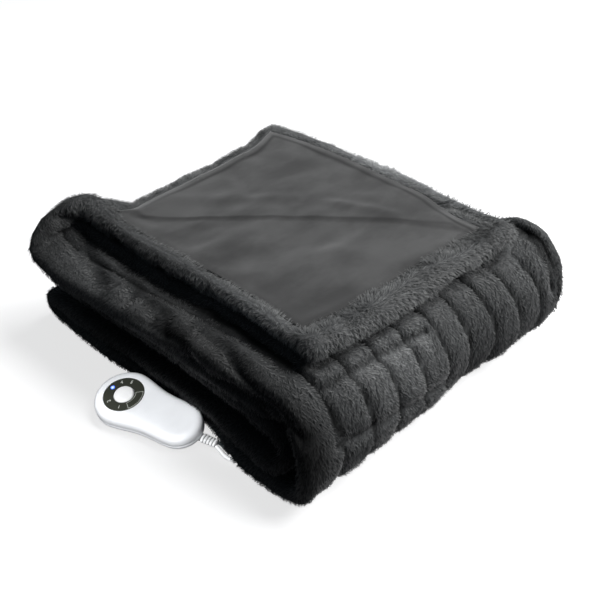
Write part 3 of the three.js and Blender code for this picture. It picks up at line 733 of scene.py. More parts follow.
def refine_creases(mesh):
    """Splits the skin's long edges near the creases, so that narrow creases can be pressed into it."""
    bm = bmesh.new()
    bm.from_mesh(mesh)
    for longest in EDGE_ROUNDS:
        put_in_order(bm)
        points = np.array([vert.co[:] for vert in bm.verts]) / MM
        near = sum(in_crease(points, way, 2 * wide, line) > 0.35 for way, _, wide, line in CREASES) > 0
        edges = [
            edge for edge in bm.edges
            if edge.calc_length() > longest and near[edge.verts[0].index] and near[edge.verts[1].index]
        ]
        bmesh.ops.subdivide_edges(bm, edges=edges, cuts=1, use_grid_fill=True)
        bm.verts.sort(key=lambda vert: vert.co.dot(SORT_WAY))
    put_in_order(bm)
    bmesh.ops.triangulate(bm, faces=[face for face in bm.faces if len(face.verts) > 4])
    put_in_order(bm)
    bm.to_mesh(mesh)
    bm.free()


def under_panel(points):
    """1 on the top layer under the middle of the lining, 0 outside it."""
    x, y, z = points.T
    near, far = panel_sides(x)
    low, high = UNDER_PANEL_X
    border = np.minimum(np.minimum(x - low, high - x), np.minimum(y - near, far - y))
    return between(border, 2, 8) * (z > UNDER_PANEL_Z)


def press(points, normals, across, ribs):
    """Presses the channels and the creases into the skin, and swells it unevenly."""
    depth = CHANNEL_DEPTH * channel_share(across, ribs, points[:, 2], PRESSED_WIDTH)
    for way, deep, wide, line in CREASES:
        depth += deep * in_crease(points, way, wide, line)
    depth = DEEPEST * np.tanh(depth / DEEPEST)
    swell = sum(height * ripple(points, scale, seed) for height, scale, seed in SWELLS)
    off_floor = ease(points[:, 2] / FLOOR_FADE)
    moved = points + normals * ((swell - depth) * off_floor)[:, None]
    moved[:, 2] -= UNDER_PANEL_SINK * under_panel(points)
    moved[:, 2] = np.maximum(moved[:, 2], FLOOR_CLEAR)
    return moved


def depth_shade(points, across, ribs):
    """How much of the light reaches down into the channels and creases: 1 in the open."""
    sunk = sum(
        deep / CREASE_FULL_DEPTH * in_crease(points, way, CREASE_SHADE_WIDTH * wide, line)
        for way, deep, wide, line in CREASES
    )
    carved = channel_share(across, ribs, points[:, 2], SHADED_WIDTH)
    return (1 - CHANNEL_SHADE * carved) * (1 - CREASE_SHADE * np.clip(sunk, 0, 1))


def painted_light_and_shade(points):
    """Painted light and shade on the pile, as a factor on its tone: 1 for most of it."""
    return 1 + sum(
        change * np.exp(-(((points - middle) / reach) ** 2).sum(axis=1)) for middle, reach, change in PAINTED_LIGHT_AND_SHADE
    )


def triangles_of(mesh):
    """A mesh's triangles as rows of point numbers."""
    mesh.calc_loop_triangles()
    corners = np.empty(len(mesh.loop_triangles) * 3, np.int32)
    mesh.loop_triangles.foreach_get("vertices", corners)
    return corners.reshape(-1, 3)


def unit(vectors, guard):
    """Vectors scaled to a length of 1; a small guard keeps the shortest ones from blowing up."""
    return vectors / (np.linalg.norm(vectors, axis=1, keepdims=True) + guard)


def open_share(points, triangles, normals, cover):
    """The share of rays that leave each triangle and meet neither the skin nor its cover."""
    cover_points, _ = coords_of(cover)
    both = np.concatenate([points, cover_points])
    faces = np.concatenate([triangles, triangles_of(cover) + len(points)])
    tree = BVHTree.FromPolygons((both * MM).tolist(), faces.tolist())
    rng = np.random.default_rng(5)
    middles = points[triangles].mean(axis=1)
    outwards = unit(normals[triangles].mean(axis=1), 1e-9)
    starts = ((middles + outwards * OFF_SKIN) * MM).tolist()
    share = np.zeros(len(triangles))
    for ray in range(RAYS):
        ways = outwards + RAY_SPREAD * rng.normal(size=3) * (ray > 0)
        ways /= np.linalg.norm(ways, axis=1, keepdims=True)
        for i, (start, way) in enumerate(zip(starts, ways.tolist())):
            if tree.ray_cast(start, way, RAY_LENGTH)[0] is None:
                share[i] += 1 / RAYS
    covered = np.zeros(len(triangles), bool)
    for i, start in enumerate(starts):
        covered[i] = start[2] > TOP_SKIN and tree.ray_cast(start, (0, 0, 1), LINING_WITHIN)[0] is not None
    share[covered | (middles[:, 2] < FLOOR_TOUCH)] = 0
    return share


def combed(points, normals):
    """The way the pile lies: down both sides of every ridge, in slow swirls."""
    swirl = np.stack([ripple(points, scale, seed) for scale, seed in SWIRLS], axis=1)
    way = unit(normals * (1, 1, 0), 0.15) + np.array(COMB_WAY) + SWIRL * swirl
    return unit(flattened(way, normals), 1e-6)


def flattened(ways, normals):
    """Ways laid down along the surface."""
    return ways - normals * (ways * normals).sum(axis=1, keepdims=True)


def gathered(tips, seed):
    """Draws the tips of strands together into small tufts, and gives each its tuft's number."""
    warp = np.stack([ripple(tips, 3.2 * TUFT_SIZE, seed + k) for k in (1, 2, 3)], axis=1) * 0.4 * TUFT_SIZE
    _, tuft = np.unique(np.floor((tips + warp) / TUFT_SIZE).astype(np.int64), axis=0, return_inverse=True)
    tuft = tuft.ravel()
    size = np.bincount(tuft).astype(float)
    middle = np.stack([np.bincount(tuft, tips[:, k]) / size for k in range(3)], axis=1)
    return tips + (middle[tuft] - tips) * TUFT_PULL, tuft


def blade_mesh(name, corners):
    """Blades as one mesh, each of five corners with a quad for its lower part and a triangle for its tip."""
    count = len(corners)
    first = np.arange(count)[:, None] * 5
    mesh = bpy.data.meshes.new(name)
    mesh.vertices.add(count * 5)
    mesh.vertices.foreach_set("co", (corners * MM).astype(np.float32).ravel())
    mesh.loops.add(count * 7)
    loops = np.concatenate([(first + [0, 1, 2, 3]).ravel(), (first + [3, 2, 4]).ravel()])
    mesh.loops.foreach_set("vertex_index", loops.astype(np.int32))
    mesh.polygons.add(count * 2)
    starts = np.concatenate([np.arange(count) * 4, count * 4 + np.arange(count) * 3])
    mesh.polygons.foreach_set("loop_start", starts.astype(np.int32))
    mesh.update(calc_edges=True)
    return mesh


def strand_mesh(name, roots, normals, length, lean, width, shade, lift, seed):
    """Tapered strands, each a bent blade of two faces with its flat side out, as one mesh."""
    rng = np.random.default_rng(seed)
    count = len(roots)
    comb = combed(roots, normals) + STRAY * rng.normal(size=(count, 3))
    comb = unit(flattened(comb, normals), 1e-6)
    lean = np.clip(lean + rng.normal(0, LEAN_STRAY, count), 0.1, 1.35)
    length = length * rng.uniform(0.7, 1.12, count)
    rise = normals * np.cos(lean)[:, None] + comb * np.sin(lean)[:, None]
    bend = normals * np.cos(lean + BEND)[:, None] + comb * np.sin(lean + BEND)[:, None]
    middle = roots + rise * (LOWER_BLADE * length)[:, None]
    tip, tuft = gathered(middle + bend * (UPPER_BLADE * length)[:, None], seed)
    half = unit(np.cross(rise, normals), 1e-6) * (width * rng.uniform(0.7, 1.2, count) / 2)[:, None]
    narrow = half * NARROWING
    corners = np.stack([roots - half, roots + half, middle + narrow, middle - narrow, tip], axis=1)
    corners[:, :, 2] = np.maximum(corners[:, :, 2], STRAND_CLEAR)
    mesh = blade_mesh(name, corners)
    tuft_tone = rng.random(tuft.max() + 1)[tuft]
    # The tone carries the painted shade of channels and creases and the pile's painted light and shade.
    tone = (TONE_LEAST + TONE_TUFT * tuft_tone + TONE_STRAND * rng.random(count)) * shade * painted_light_and_shade(roots)
    set_attribute(mesh, "tip", np.tile([0, 0, LOWER_BLADE, LOWER_BLADE, 1], count))
    set_attribute(mesh, "tone", np.repeat(tone, 5))
    mesh.shade_smooth()
    facing = normals * FACE_SKIN + bend * FACE_STRAND + lift[:, None] * (0, 0, 1)
    facing = unit(np.repeat(facing, 5, axis=0), 0)
    mesh.normals_split_custom_set_from_vertices(facing.astype(np.float32))
    return mesh


# Each stretch of pile: its name, its share of the strands, and what it takes of what is left.
STRETCHES = (
    ("pile_hems", 1.7, lambda x, y, z, hem: hem > 0.45),
    ("pile_front_upper", 1.0, lambda x, y, z, hem: (x > 150) & (z > 66)),
    ("pile_front_lower", 1.0, lambda x, y, z, hem: x > 150),
    ("pile_near", 1.0, lambda x, y, z, hem: y < -100),
    ("pile_far", 0.6, lambda x, y, z, hem: y > 100),
    ("pile_back", 0.5, lambda x, y, z, hem: x <= 150),
)


def grow_pile(cloth, cover, settings):
    """Grows the strands of the pile from the skin wherever it is open to the air."""
    points, normals = coords_of(cloth)
    triangles = triangles_of(cloth)
    across, ribs, hem = (attribute_of(cloth, name) for name in ("across", "ribs", "hem"))
    corners = points[triangles]
    area = np.linalg.norm(np.cross(corners[:, 1] - corners[:, 0], corners[:, 2] - corners[:, 0]), axis=1) / 2
    share = open_share(points, triangles, normals, cover)
    share[attribute_of(cloth, "outer")[triangles].min(axis=1) < 0.9] = 0
    open_area = area * (share > 0.1)
    places = (*corners.mean(axis=1).T, hem[triangles].mean(axis=1))
    weight = np.zeros(len(triangles))
    left = np.ones(len(triangles), bool)
    members = []
    for _, density, takes in STRETCHES:
        inside = takes(*places) & left
        left &= ~inside
        members.append(inside)
        weight += inside * density * open_area * (0.55 + 0.45 * (share > 0.3))
    per_area = settings.strand_count / weight.sum()
    plush = plush_finish(settings)
    pieces = []
    for number, ((name, _, _), inside) in enumerate(zip(STRETCHES, members)):
        chance = weight * inside
        count = int(round(chance.sum() * per_area))
        rng = np.random.default_rng(100 + number)
        chosen = triangles[rng.choice(len(triangles), count, p=chance / chance.sum())]
        mix = rng.dirichlet((1, 1, 1), count)
        at, out = ((values[chosen] * mix[:, :, None]).sum(axis=1) for values in (points, normals))
        column, rib, edge = ((values[chosen] * mix).sum(axis=1) for values in (across, ribs, hem))
        edge = np.clip(edge, 0, 1)
        carved = channel_share(column, rib, at[:, 2], SHORN_WIDTH)
        shade = depth_shade(at, column, rib)
        length = (settings.pile_length + (settings.hem_pile_length - settings.pile_length) * edge) / MM
        length = length * (1 + LENGTH_DRIFT * ripple(at, 30, 31)) * (1 - SHORN * carved)
        length = length * (SHADED_LENGTH + (1 - SHADED_LENGTH) * shade)
        lean = LEAN - HEM_LEAN_LESS * edge + LEAN_DRIFT * ripple(at, 45, 32)
        wide = settings.strand_width / MM * (1 - HEM_NARROWER * edge)
        lift = HEM_LIFT_LIGHT * edge
        mesh = strand_mesh(name, at, unit(out, 1e-6), length, lean, wide, shade, lift, 200 + number)
        pieces.append(new_object(name, mesh, plush))
    return pieces


# ---- the lining ----

LINING_CLEAR, LINING_THICK = 1.2, 2.0
# Wrinkles of the lining: x1, y1, x2, y2, width and rise.
WRINKLES = (
    (-150, -86, -20, 60, 13, 2.2),
    (-20, 60, 110, 110, 11, 2.6),
    (-60, -96, 60, -60, 22, 2.4),
    (-150, 110, -70, 138, 16, 2.6),
    (60, -20, 150, 20, 18, 2),
)
# Finer wrinkles than the solid's, in the same form.
FINE_WRINKLES = (
    (-154, 62, -113, 156, 17, -2.6),
    (-113, 156, -6, 168, 16, -2.4),
    (-151, 48, -50, 5, 13, -2.6),
    (-79, -149, -60, -43, 11, 2.4),
    (-47, -147, -21, -58, 11, -2.2),
    (67, -44, 65, 34, 13, -2.6),
    (27, -181, 72, -81, 18, 2.2),
    (73, 129, 169, 145, 14, 1.6),
    (-150, -154, -81, -125, 11, 2.2),
    (113, -121, 125, -22, 20, 2.0),
    (-16, 94, 68, 124, 14, 1.6),
)
WRINKLE_FADE = 40
# The long soft fold from hem to hem, how sharply it falls on its two sides, and how wide its shade is.
LONG_FOLD = ((-128, -122), (-78, -74), (-45, -37), (-11, -2), (24, 33), (61, 67), (100, 97), (150, 134))
FOLD_RISE, FOLD_NEAR, FOLD_FAR, FOLD_SHADE_WIDTH = 2.4, 3.2, 30, 2.2
# How steeply the wrinkles, the fine wrinkles and the sewn edge grow from the border inwards, and its dip.
EDGE_GROWTH, FINE_GROWTH, DIP_GROWTH, EDGE_DIP = 11, 16, 40, 1.2
# The panel's size as laid, and how far inside its edges at low X and high Y the seam runs.
PANEL_SIZE, SEAM_AT, SEAM_WIDTH = (328, 312), 13, 2.8
# Painted shade in the fold and along the seam, and painted light on the strip between the seam and the edge.
FOLD_SHADE, SEAM_SHADE, BORDER_LIGHT = 0.45, 0.93, 0.3


def fold_offset(x, y):
    """How far a place lies beyond the long fold's line."""
    knots = np.array(LONG_FOLD, float)
    return (y - np.interp(x, knots[:, 0], knots[:, 1])) * 0.7


def long_fold(x, y):
    """The height of the long fold."""
    off = fold_offset(x, y)
    return FOLD_RISE * np.where(off > 0, hump(off, FOLD_FAR), hump(off, FOLD_NEAR))


def wrinkle(rows, x, y):
    """The height of the lining's wrinkles."""
    total = np.zeros_like(x)
    for x1, y1, x2, y2, wide, rise in rows:
        length = math.hypot(x2 - x1, y2 - y1)
        along = ((x - x1) * (x2 - x1) + (y - y1) * (y2 - y1)) / length
        off = ((x - x1) * (y2 - y1) - (y - y1) * (x2 - x1)) / length
        total += rise * ease(along / WRINKLE_FADE) * ease((length - along) / WRINKLE_FADE) * hump(off, wide)
    return total


def panel_place(u, v):
    """A place on the lining's upper face: u along X and v along Y, from 0 to 1."""
    x = PANEL_LOW + (PANEL_HIGH - PANEL_LOW) * u
    low, high = panel_sides(x)
    y = low + (high - low) * v
    border = np.minimum(np.minimum(u, 1 - u), np.minimum(v, 1 - v))
    grain = np.stack([x, 0.4 * y, 0 * x], axis=1)
    soft = 1.4 * ripple(grain, 90, 61) + 0.5 * ripple(grain, 40, 62) + long_fold(x, y)
    z = TOP.height + TOP_LAYER / 2 + LINING_CLEAR + LINING_THICK
    z = z + wrinkle(WRINKLES, x, y) * ease(border * EDGE_GROWTH)
    z = z + (wrinkle(FINE_WRINKLES, x, y) + soft) * ease(border * FINE_GROWTH)
    z = z - EDGE_DIP * (1 - ease(border * DIP_GROWTH))
    return settle(x, y, z)


def build_lining():
    """The lining's upper face as a grid, with painted shade in the fold and along the seam and painted light
    on the strip between the seam and the edge.
    """
    bm = bmesh.new()
    bmesh.ops.create_grid(bm, x_segments=130, y_segments=120, size=0.5)
    u, v = np.array([vert.co[:2] for vert in bm.verts]).T + 0.5
    places = panel_place(u, v)
    for vert, place in zip(bm.verts, places):
        vert.co = place * MM
    mesh = mesh_from(bm, "lining_cloth")
    if mesh.polygons[0].normal.z < 0:
        mesh.flip_normals()
    # Painted shade in the fold and along the seam, and painted light on the strip between the seam and the
    # edge.
    fold = hump(fold_offset(places[:, 0], places[:, 1]), FOLD_SHADE_WIDTH)
    border = np.minimum(PANEL_SIZE[0] * u, PANEL_SIZE[1] * (1 - v))
    seam = hump(border - SEAM_AT, SEAM_WIDTH)
    lit = 1 + BORDER_LIGHT * between(border, SEAM_AT - 2, SEAM_AT - 5)
    set_attribute(mesh, "tone", (1 - FOLD_SHADE * fold) * (1 - SEAM_SHADE * seam) * lit)
    return mesh


# ---- the hand control ----

HEAD_R, TAIL_R, HEAD_TO_TAIL, WAIST = 36.5, 27.5, 80.0, 3.0
CONTROL_H, SPLIT_H, PARTING_H, PARTING_STEP = 21.5, 8.5, 8.2, 0.35
TAIL_STEPS, SIDE_STEPS, HEAD_STEPS = 30, 10, 44
# Each shell's rounded edge: how far it reaches in, where it starts, and its steps.
UPPER_ROUND, LOWER_ROUND = (11.2, 11.5, 14), (11.0, 1.2, 10)
SHOULDER_FULLNESS = 0.72
DIAL_R, DIAL_HOLE_R, DIAL_THICK, DIAL_FLOOR, DIAL_EDGE = 24.3, 12.4, 1.3, 19.8, 0.3
BUTTON_R, WELL_R, WELL_DEPTH, CLEARANCE = 11.7, 12.2, 6, 0.3
RIM_ROUND = 0.18
LED_RADIUS, LED_AT, LED_ANGLE = 2.7, 18.3, 175.0
CONTROL_AT = (-14, -249.5, 5.1)
CONTROL_YAW, CONTROL_TILT = 13.0, 11.0
DIAL_LOW = DIAL_FLOOR + CLEARANCE
DIAL_HIGH = DIAL_LOW + DIAL_THICK
# Figures round the dial, and the angle of each from the tail's direction.
DIAL_FIGURES = (("1", 293), ("2", 241), ("4", 137), ("5", 99))
FIGURE_SIZE, PRINT_THICK, PRINT_LIFT = 6.2, 0.05, 0.06
# The outlined sector on the dial: half its angle and its radii, outside and inside its line.
SECTOR_OUTER, SECTOR_INNER = (37, 14.2, 23.0), (35.8, 14.6, 22.6)
BUTTON_LOW, BUTTON_HIGH = DIAL_FLOOR - 4, CONTROL_H + 1.6
# The button's rounded edge, and how much higher its middle is than that edge.
BUTTON_ROUND, BUTTON_DOME = 1.5, 0.45
RELIEF_LENGTH, RELIEF_RIBS, RELIEF_WIDE, RELIEF_HIGH, RELIEF_TIP = 21.0, 5, 13.0, 8.4, 0.88
RELIEF_AT, RELIEF_YAW, RELIEF_PITCH = (88.8, -223, 7), 18, 3
# One rib of the boot: steps along it, and how far each lies under its full size.
RELIEF_RIB = ((-0.5, -1.0), (-0.3, -0.3), (0.05, 0), (1.85, 0), (2.2, -0.3), (2.4, -1.0))
# The pieces that the control's own lights reach.
CONTROL_LIT = "takes_control_light"
CONTROL_PIECES = (
    "control_upper_shell_cover", "control_lower_shell_cover", "dial_ring_cover", "dial_figures", "lamp_lens",
    "push_button_cap", "relief_boot", "control_lead_cord",
)


def turned(degrees, axis):
    """A turn about an axis."""
    return Matrix.Rotation(math.radians(degrees), 4, axis)


def moved(place):
    """A move to a place in millimetres."""
    return Matrix.Translation(Vector(place) * MM)


def on_dial(angle):
    """A move to the circle of figures, at an angle from the tail's direction."""
    turn = math.radians(angle)
    return Matrix.Translation((LED_AT * MM * math.cos(turn), LED_AT * MM * math.sin(turn), 0))


def control_place():
    """Where the hand control lies, leaning on the throw."""
    return moved(CONTROL_AT) @ turned(CONTROL_YAW, "Z") @ turned(CONTROL_TILT, "X")


def control_outline(inset, z):
    """The control's pear-shaped outline at a height, drawn in from its widest line by inset."""
    tangent = math.acos((HEAD_R - TAIL_R) / HEAD_TO_TAIL)
    points = []

    def arc(centre, radius, start, end, steps):
        for angle in np.linspace(start, end, steps + 1):
            points.append((centre + radius * math.cos(angle), radius * math.sin(angle)))

    def side(sign):
        way = np.array([math.cos(tangent), sign * math.sin(tangent)])
        head, tail = way * (HEAD_R - inset), way * (TAIL_R - inset) + np.array([HEAD_TO_TAIL, 0])
        shares = np.linspace(0, 1, SIDE_STEPS + 1)[1:-1]
        for t in shares[::-1] if sign > 0 else shares:
            hollow = WAIST * math.sin(math.pi * t) ** 2
            points.append(tuple(head + (tail - head) * t - way * hollow))

    arc(HEAD_TO_TAIL, TAIL_R - inset, -tangent, tangent, TAIL_STEPS)
    side(1)
    arc(0, HEAD_R - inset, tangent, 2 * math.pi - tangent, HEAD_STEPS)
    side(-1)
    return np.column_stack([points, np.full(len(points), z)])


def shoulder(radius, low, high, steps):
    """Rounds an edge: (inset, height) rows of a full quarter curve from the side up to the top."""
    rows = []
    for angle in np.linspace(0, math.pi / 2, steps + 1):
        cos = max(math.cos(angle), 0) ** SHOULDER_FULLNESS
        sin = math.sin(angle) ** SHOULDER_FULLNESS
        rows.append((radius * (1 - cos), low + (high - low) * sin))
    return rows


def cut(obj, cutter, edge):
    """Cuts one piece's shape from another, rounds the new edges and takes the cutter away."""
    boolean = obj.modifiers.new("Recess", "BOOLEAN")
    boolean.object = cutter
    boolean.solver = "EXACT"
    rounding = obj.modifiers.new("Rim", "BEVEL")
    rounding.width = edge * MM
    rounding.segments = 2
    rounding.limit_method = "ANGLE"
    rounding.angle_limit = math.radians(50)
    mesh = finished(obj)
    bpy.data.objects.remove(cutter)
    mesh.shade_smooth()
    mesh.set_sharp_from_angle(angle=math.radians(45))


def build_shell(name, rows, finish):
    """One moulding of the control from (inset, height) rows."""
    return new_object(name, ring_piece(name, [control_outline(inset, z) for inset, z in rows]), finish)


def build_upper_shell(finish):
    """The upper moulding: a rounded shoulder, a shallow recess for the dial and a well for the button."""
    radius, low, steps = UPPER_ROUND
    rows = [(1.6, SPLIT_H), (PARTING_STEP, SPLIT_H), (0, SPLIT_H + 0.4)]
    rows += [*shoulder(radius, low, CONTROL_H, steps), (radius + 0.4, CONTROL_H)]
    obj = build_shell("control_upper_shell_cover", rows, finish)
    top, floor, deep, recess = CONTROL_H + 1, DIAL_FLOOR, DIAL_FLOOR - WELL_DEPTH, DIAL_R + CLEARANCE
    profile = ((0, deep), (WELL_R, deep), (WELL_R, floor), (recess, floor), (recess, top), (0, top))
    cut(obj, in_scene("recess_cutter", spun_piece("recess_cutter", profile, 96)), RIM_ROUND)
    return obj


def build_lower_shell(finish):
    """The lower moulding, rounded under and stepped in at the parting line."""
    radius, low, steps = LOWER_ROUND
    rows = [(inset, PARTING_H - z) for inset, z in shoulder(radius, low, PARTING_H, steps)][::-1]
    rows += [(0, PARTING_H - 0.45), (PARTING_STEP, PARTING_H)]
    return build_shell("control_lower_shell_cover", rows, finish)


def build_dial():
    """The dial's ring, with a fine chamfer on both of its upper edges."""
    inner, outer, low, high, edge = DIAL_HOLE_R, DIAL_R, DIAL_LOW, DIAL_HIGH, DIAL_EDGE
    profile = (
        (inner, low), (outer, low), (outer, high - edge), (outer - edge, high), (inner + edge, high),
        (inner, high - edge), (inner, low),
    )
    mesh = spun_piece("dial_ring_cover", profile, 96, smooth=False)
    mesh.transform(control_place())
    return mesh


def figure_mesh(text, angle):
    """A printed figure on the dial, its foot towards the button."""
    curve = bpy.data.curves.new("figure_" + text, "FONT")
    curve.body = text
    curve.size = FIGURE_SIZE * MM
    curve.align_x = curve.align_y = "CENTER"
    curve.extrude = PRINT_THICK * MM
    curve.resolution_u = 3
    holder = in_scene("figure_" + text, curve)
    mesh = baked_mesh(holder)
    bpy.data.objects.remove(holder)
    mesh.transform(on_dial(angle) @ turned(angle - 90, "Z"))
    return mesh


def sector_line(half_angle, low, high):
    """The outline of a sector of the dial, in millimetres."""
    angles = np.radians(np.linspace(-half_angle, half_angle, 15))
    outline = [(high * math.cos(a), high * math.sin(a)) for a in angles]
    return outline + [(low * math.cos(a), low * math.sin(a)) for a in angles[::-1]]


def band_mesh(name, outer, inner):
    """A thin flat printed band between two closed lines of points."""
    bm = bmesh.new()
    edges = []
    for line in (outer, inner):
        verts = [bm.verts.new((x * MM, y * MM, 0)) for x, y in line]
        edges += [bm.edges.new(pair) for pair in zip(verts, verts[1:] + verts[:1])]
    bmesh.ops.bridge_loops(bm, edges=edges)
    return mesh_from(bm, name, smooth=False)


def build_figures():
    """Everything printed on the dial, as one mesh."""
    meshes = [figure_mesh(text, angle) for text, angle in DIAL_FIGURES]
    meshes.append(band_mesh("sector", sector_line(*SECTOR_OUTER), sector_line(*SECTOR_INNER)))
    bm = bmesh.new()
    for mesh in meshes:
        bm.from_mesh(mesh)
    bm.transform(control_place() @ Matrix.Translation((0, 0, (DIAL_HIGH + PRINT_LIFT) * MM)))
    figures = bpy.data.meshes.new("dial_figures")
    bm.to_mesh(figures)
    bm.free()
    return figures


def build_lens():
    """The lamp's domed lens, with how near each point is to its middle."""
    top = DIAL_HIGH + 0.3
    profile = (
        (0, DIAL_LOW), (LED_RADIUS, DIAL_LOW), (LED_RADIUS, top - 0.4), (2.0, top - 0.1), (1.2, top + 0.12),
        (0, top + 0.2),
    )
    mesh = spun_piece("lamp_lens", profile, 32)
    set_attribute(mesh, "core", [1 - min(v.co.xy.length / (LED_RADIUS * MM), 1) for v in mesh.vertices])
    mesh.transform(control_place() @ on_dial(LED_ANGLE))
    return mesh


def build_button():
    """The round button: a rounded edge and a faintly domed top."""
    low, edge_top = BUTTON_LOW, BUTTON_HIGH - 1.7
    profile = [(0, low), (BUTTON_R - 0.3, low), (BUTTON_R, low + 0.3), (BUTTON_R, edge_top)]
    for t in np.linspace(0.12, 1, 9):
        profile.append((BUTTON_R - BUTTON_ROUND * t, edge_top + 1.25 * math.sin(t * math.pi / 2)))
    flat_r = BUTTON_R - BUTTON_ROUND
    profile += [(r, BUTTON_HIGH - BUTTON_DOME * (r / flat_r) ** 2) for r in (8.6, 6.6, 4.4, 2.2, 0)]
    mesh = spun_piece("push_button_cap", profile, 64)
    mesh.transform(control_place())
    return mesh


def build_relief():
    """The flat oval boot between the control and its leads, with ribs moulded round it."""
    pitch = RELIEF_LENGTH / (RELIEF_RIBS + 0.5)
    rows = [(-2.5, -1.0), (0, -1.0)]
    for i in range(RELIEF_RIBS):
        rows += [(pitch * (i + 0.6) + step, grow) for step, grow in RELIEF_RIB]
    rows += [(RELIEF_LENGTH - 0.5, -0.9), (RELIEF_LENGTH, -1.3)]
    angles = np.linspace(0, 2 * math.pi, 33)[:-1]

    def taper(x):
        return 1 + (RELIEF_TIP - 1) * x / RELIEF_LENGTH

    rings = []
    for x, grow in rows:
        y = (RELIEF_WIDE / 2 + grow) * taper(x) * np.cos(angles)
        z = (RELIEF_HIGH / 2 + grow) * taper(x) * np.sin(angles)
        rings.append(np.column_stack([np.full(len(angles), x), y, z]))
    mesh = ring_piece("relief_boot", rings)
    x, y, z = coords_of(mesh)[0].T
    reach = (2 * y / RELIEF_WIDE / taper(x)) ** 2 + (2 * z / RELIEF_HIGH / taper(x)) ** 2
    # Painted shade in the grooves between the ribs.
    set_attribute(mesh, "groove_shade", between(reach, 0.93, 0.78))
    mesh.transform(moved(RELIEF_AT) @ turned(RELIEF_YAW, "Z") @ turned(RELIEF_PITCH, "Y"))
    return mesh


# ---- the leads and the plug ----

LEAD_Z = 2.5
MAINS_ROUTE = (
    (108.4, -213.4, 5.7), (113, -212.6, 4.4), (118, -213, 3.2), (127.8, -210.4, 2.5), (134.9, -203.2, 2.5),
    (137.5, -193.5, 2.5), (137.5, -150, 2.5), (137.5, -60, 2.5), (137.5, 60, 2.5), (137.5, 160, 2.5),
    (136.8, 205, 2.5), (134.5, 240, 2.5), (134, 260.5, 2.5),
)
CONTROL_ROUTE = (
    (110.4, -219.4, 5.7), (118.5, -219.7, 3.6), (127, -220.5, 2.5), (137.3, -217.8, 2.5),
    (144.8, -210.3, 2.5), (147.5, -200, 2.5), (147.5, -150, 2.5), (147.5, -60, 2.5), (147.5, 60, 2.5),
    (147.5, 160, 2.5), (148.2, 205, 2.5), (150.5, 240, 2.5), (151, 268.5, 2.5),
)
PLUG_ROUTE = ((98, 315.6, 3.2), (90, 313.4, 5.4), (82.7, 312, 7.3), (74, 312, 7.5), (66.5, 312, 7.6))
HEM_ROUTE = ((199, 268.5, 12), (199.5, 256, 12), (200, 243, 12), (200, 226.3, 11.6))
# Radius and height of each turn of the mains coil, in the order it was wound.
MAINS_TURNS = (
    (27, 2.5), (22.2, 2.5), (22.2, 7.3), (22.2, 12.1), (27, 12.1), (27, 7.3), (31.8, 7.3), (31.8, 2.5),
)
# Its middle, its steps in degrees, and where and over what angle each turn moves on to the next.
MAINS_COIL_AT, MAINS_COIL_STEPS, TURN_SHIFT, TURN_OVER = (107, 285), np.arange(0, 2611, 15.0), 25, 40
# The control lead's coil: its middle, its radius, and the height and angle at which each turn climbs.
CONTROL_COIL_AT, CONTROL_COIL_R, CONTROL_COIL_STEPS = (175, 285), 24, np.arange(0, 901, 15.0)
COIL_CLIMBS = ((4.8, 285), (4.7, 645))
# The plug's place, and its shares of its full size at steps back along it.
PLUG_X, PLUG_Y, PLUG_Z = 66, 312, 7.6
PLUG_ROWS = (
    (-31, 0.9), (-30.4, 0.97), (-29, 1), (-24, 1), (-19, 0.95), (-14, 0.9), (-10, 0.76), (-6, 0.6),
    (-3, 0.52), (-0.6, 0.5), (0, 0.44),
)
# Half its size, its least share of its height, and how round its section is across and upright.
PLUG_HALF_WIDE, PLUG_HALF_HIGH, PLUG_LEAST_HIGH, PLUG_ROUND = 12.5, 7.5, 0.66, (0.55, 0.6)
BLADE_SIZE, BLADE_MIDDLE, BLADE_HALF_GAP = (17.5, 1.5, 6.3), 25.95, 6.35
BLADE_CORNER, BLADE_ROUND = 1.6, 0.18


def round_at(centre, radius, degrees, height):
    """A place on a circle."""
    angle = math.radians(degrees)
    return (centre[0] + radius * math.cos(angle), centre[1] + radius * math.sin(angle), height)


def mains_coil():
    """Seven and a quarter turns, each laid beside or on the one before."""
    points = []
    for degrees in MAINS_COIL_STEPS:
        turn, within = divmod(degrees + TURN_SHIFT, 360)
        turn = min(int(turn), 7)
        share = float(ease(within / TURN_OVER)) if turn else 1.0
        before, now = MAINS_TURNS[max(turn - 1, 0)], MAINS_TURNS[turn]
        radius, height = (a + (b - a) * share for a, b in zip(before, now))
        points.append(round_at(MAINS_COIL_AT, radius, degrees, height))
    return points


def control_coil():
    """Two and a half turns, one on the other."""
    points = []
    for degrees in CONTROL_COIL_STEPS:
        height = LEAD_Z + sum(rise * float(ease((degrees - at) / TURN_OVER)) for rise, at in COIL_CLIMBS)
        points.append(round_at(CONTROL_COIL_AT, CONTROL_COIL_R, 180 - degrees, height))
    return points


def lead_object(name, points, settings, finish):
    """A round lead through its points."""
    curve = bpy.data.curves.new(name, "CURVE")
    curve.dimensions = "3D"
    curve.resolution_u = 4
    curve.bevel_depth = settings.diameter / 2
    curve.bevel_resolution = 3
    curve.use_fill_caps = True
    spline = curve.splines.new("BEZIER")
    spline.bezier_points.add(len(points) - 1)
    for knot, point in zip(spline.bezier_points, points):
        knot.co = Vector(point) * MM
        knot.handle_left_type = knot.handle_right_type = "AUTO"
    obj = new_object(name, curve, finish)
    return obj


def build_plug():
    """The plug's moulded body: a flattened grip, tapering to the lead."""
    angles = np.linspace(0, 2 * math.pi, 33)[:-1]
    y, z = np.cos(angles), np.sin(angles)
    rings = []
    for back, share in PLUG_ROWS:
        across = PLUG_HALF_WIDE * share * np.sign(y) * np.abs(y) ** PLUG_ROUND[0]
        upright = PLUG_HALF_HIGH * max(share, PLUG_LEAST_HIGH) * np.sign(z) * np.abs(z) ** PLUG_ROUND[1]
        rings.append(np.column_stack([np.full(32, PLUG_X + back), PLUG_Y + across, PLUG_Z + upright]))
    return ring_piece("plug_grip", rings)


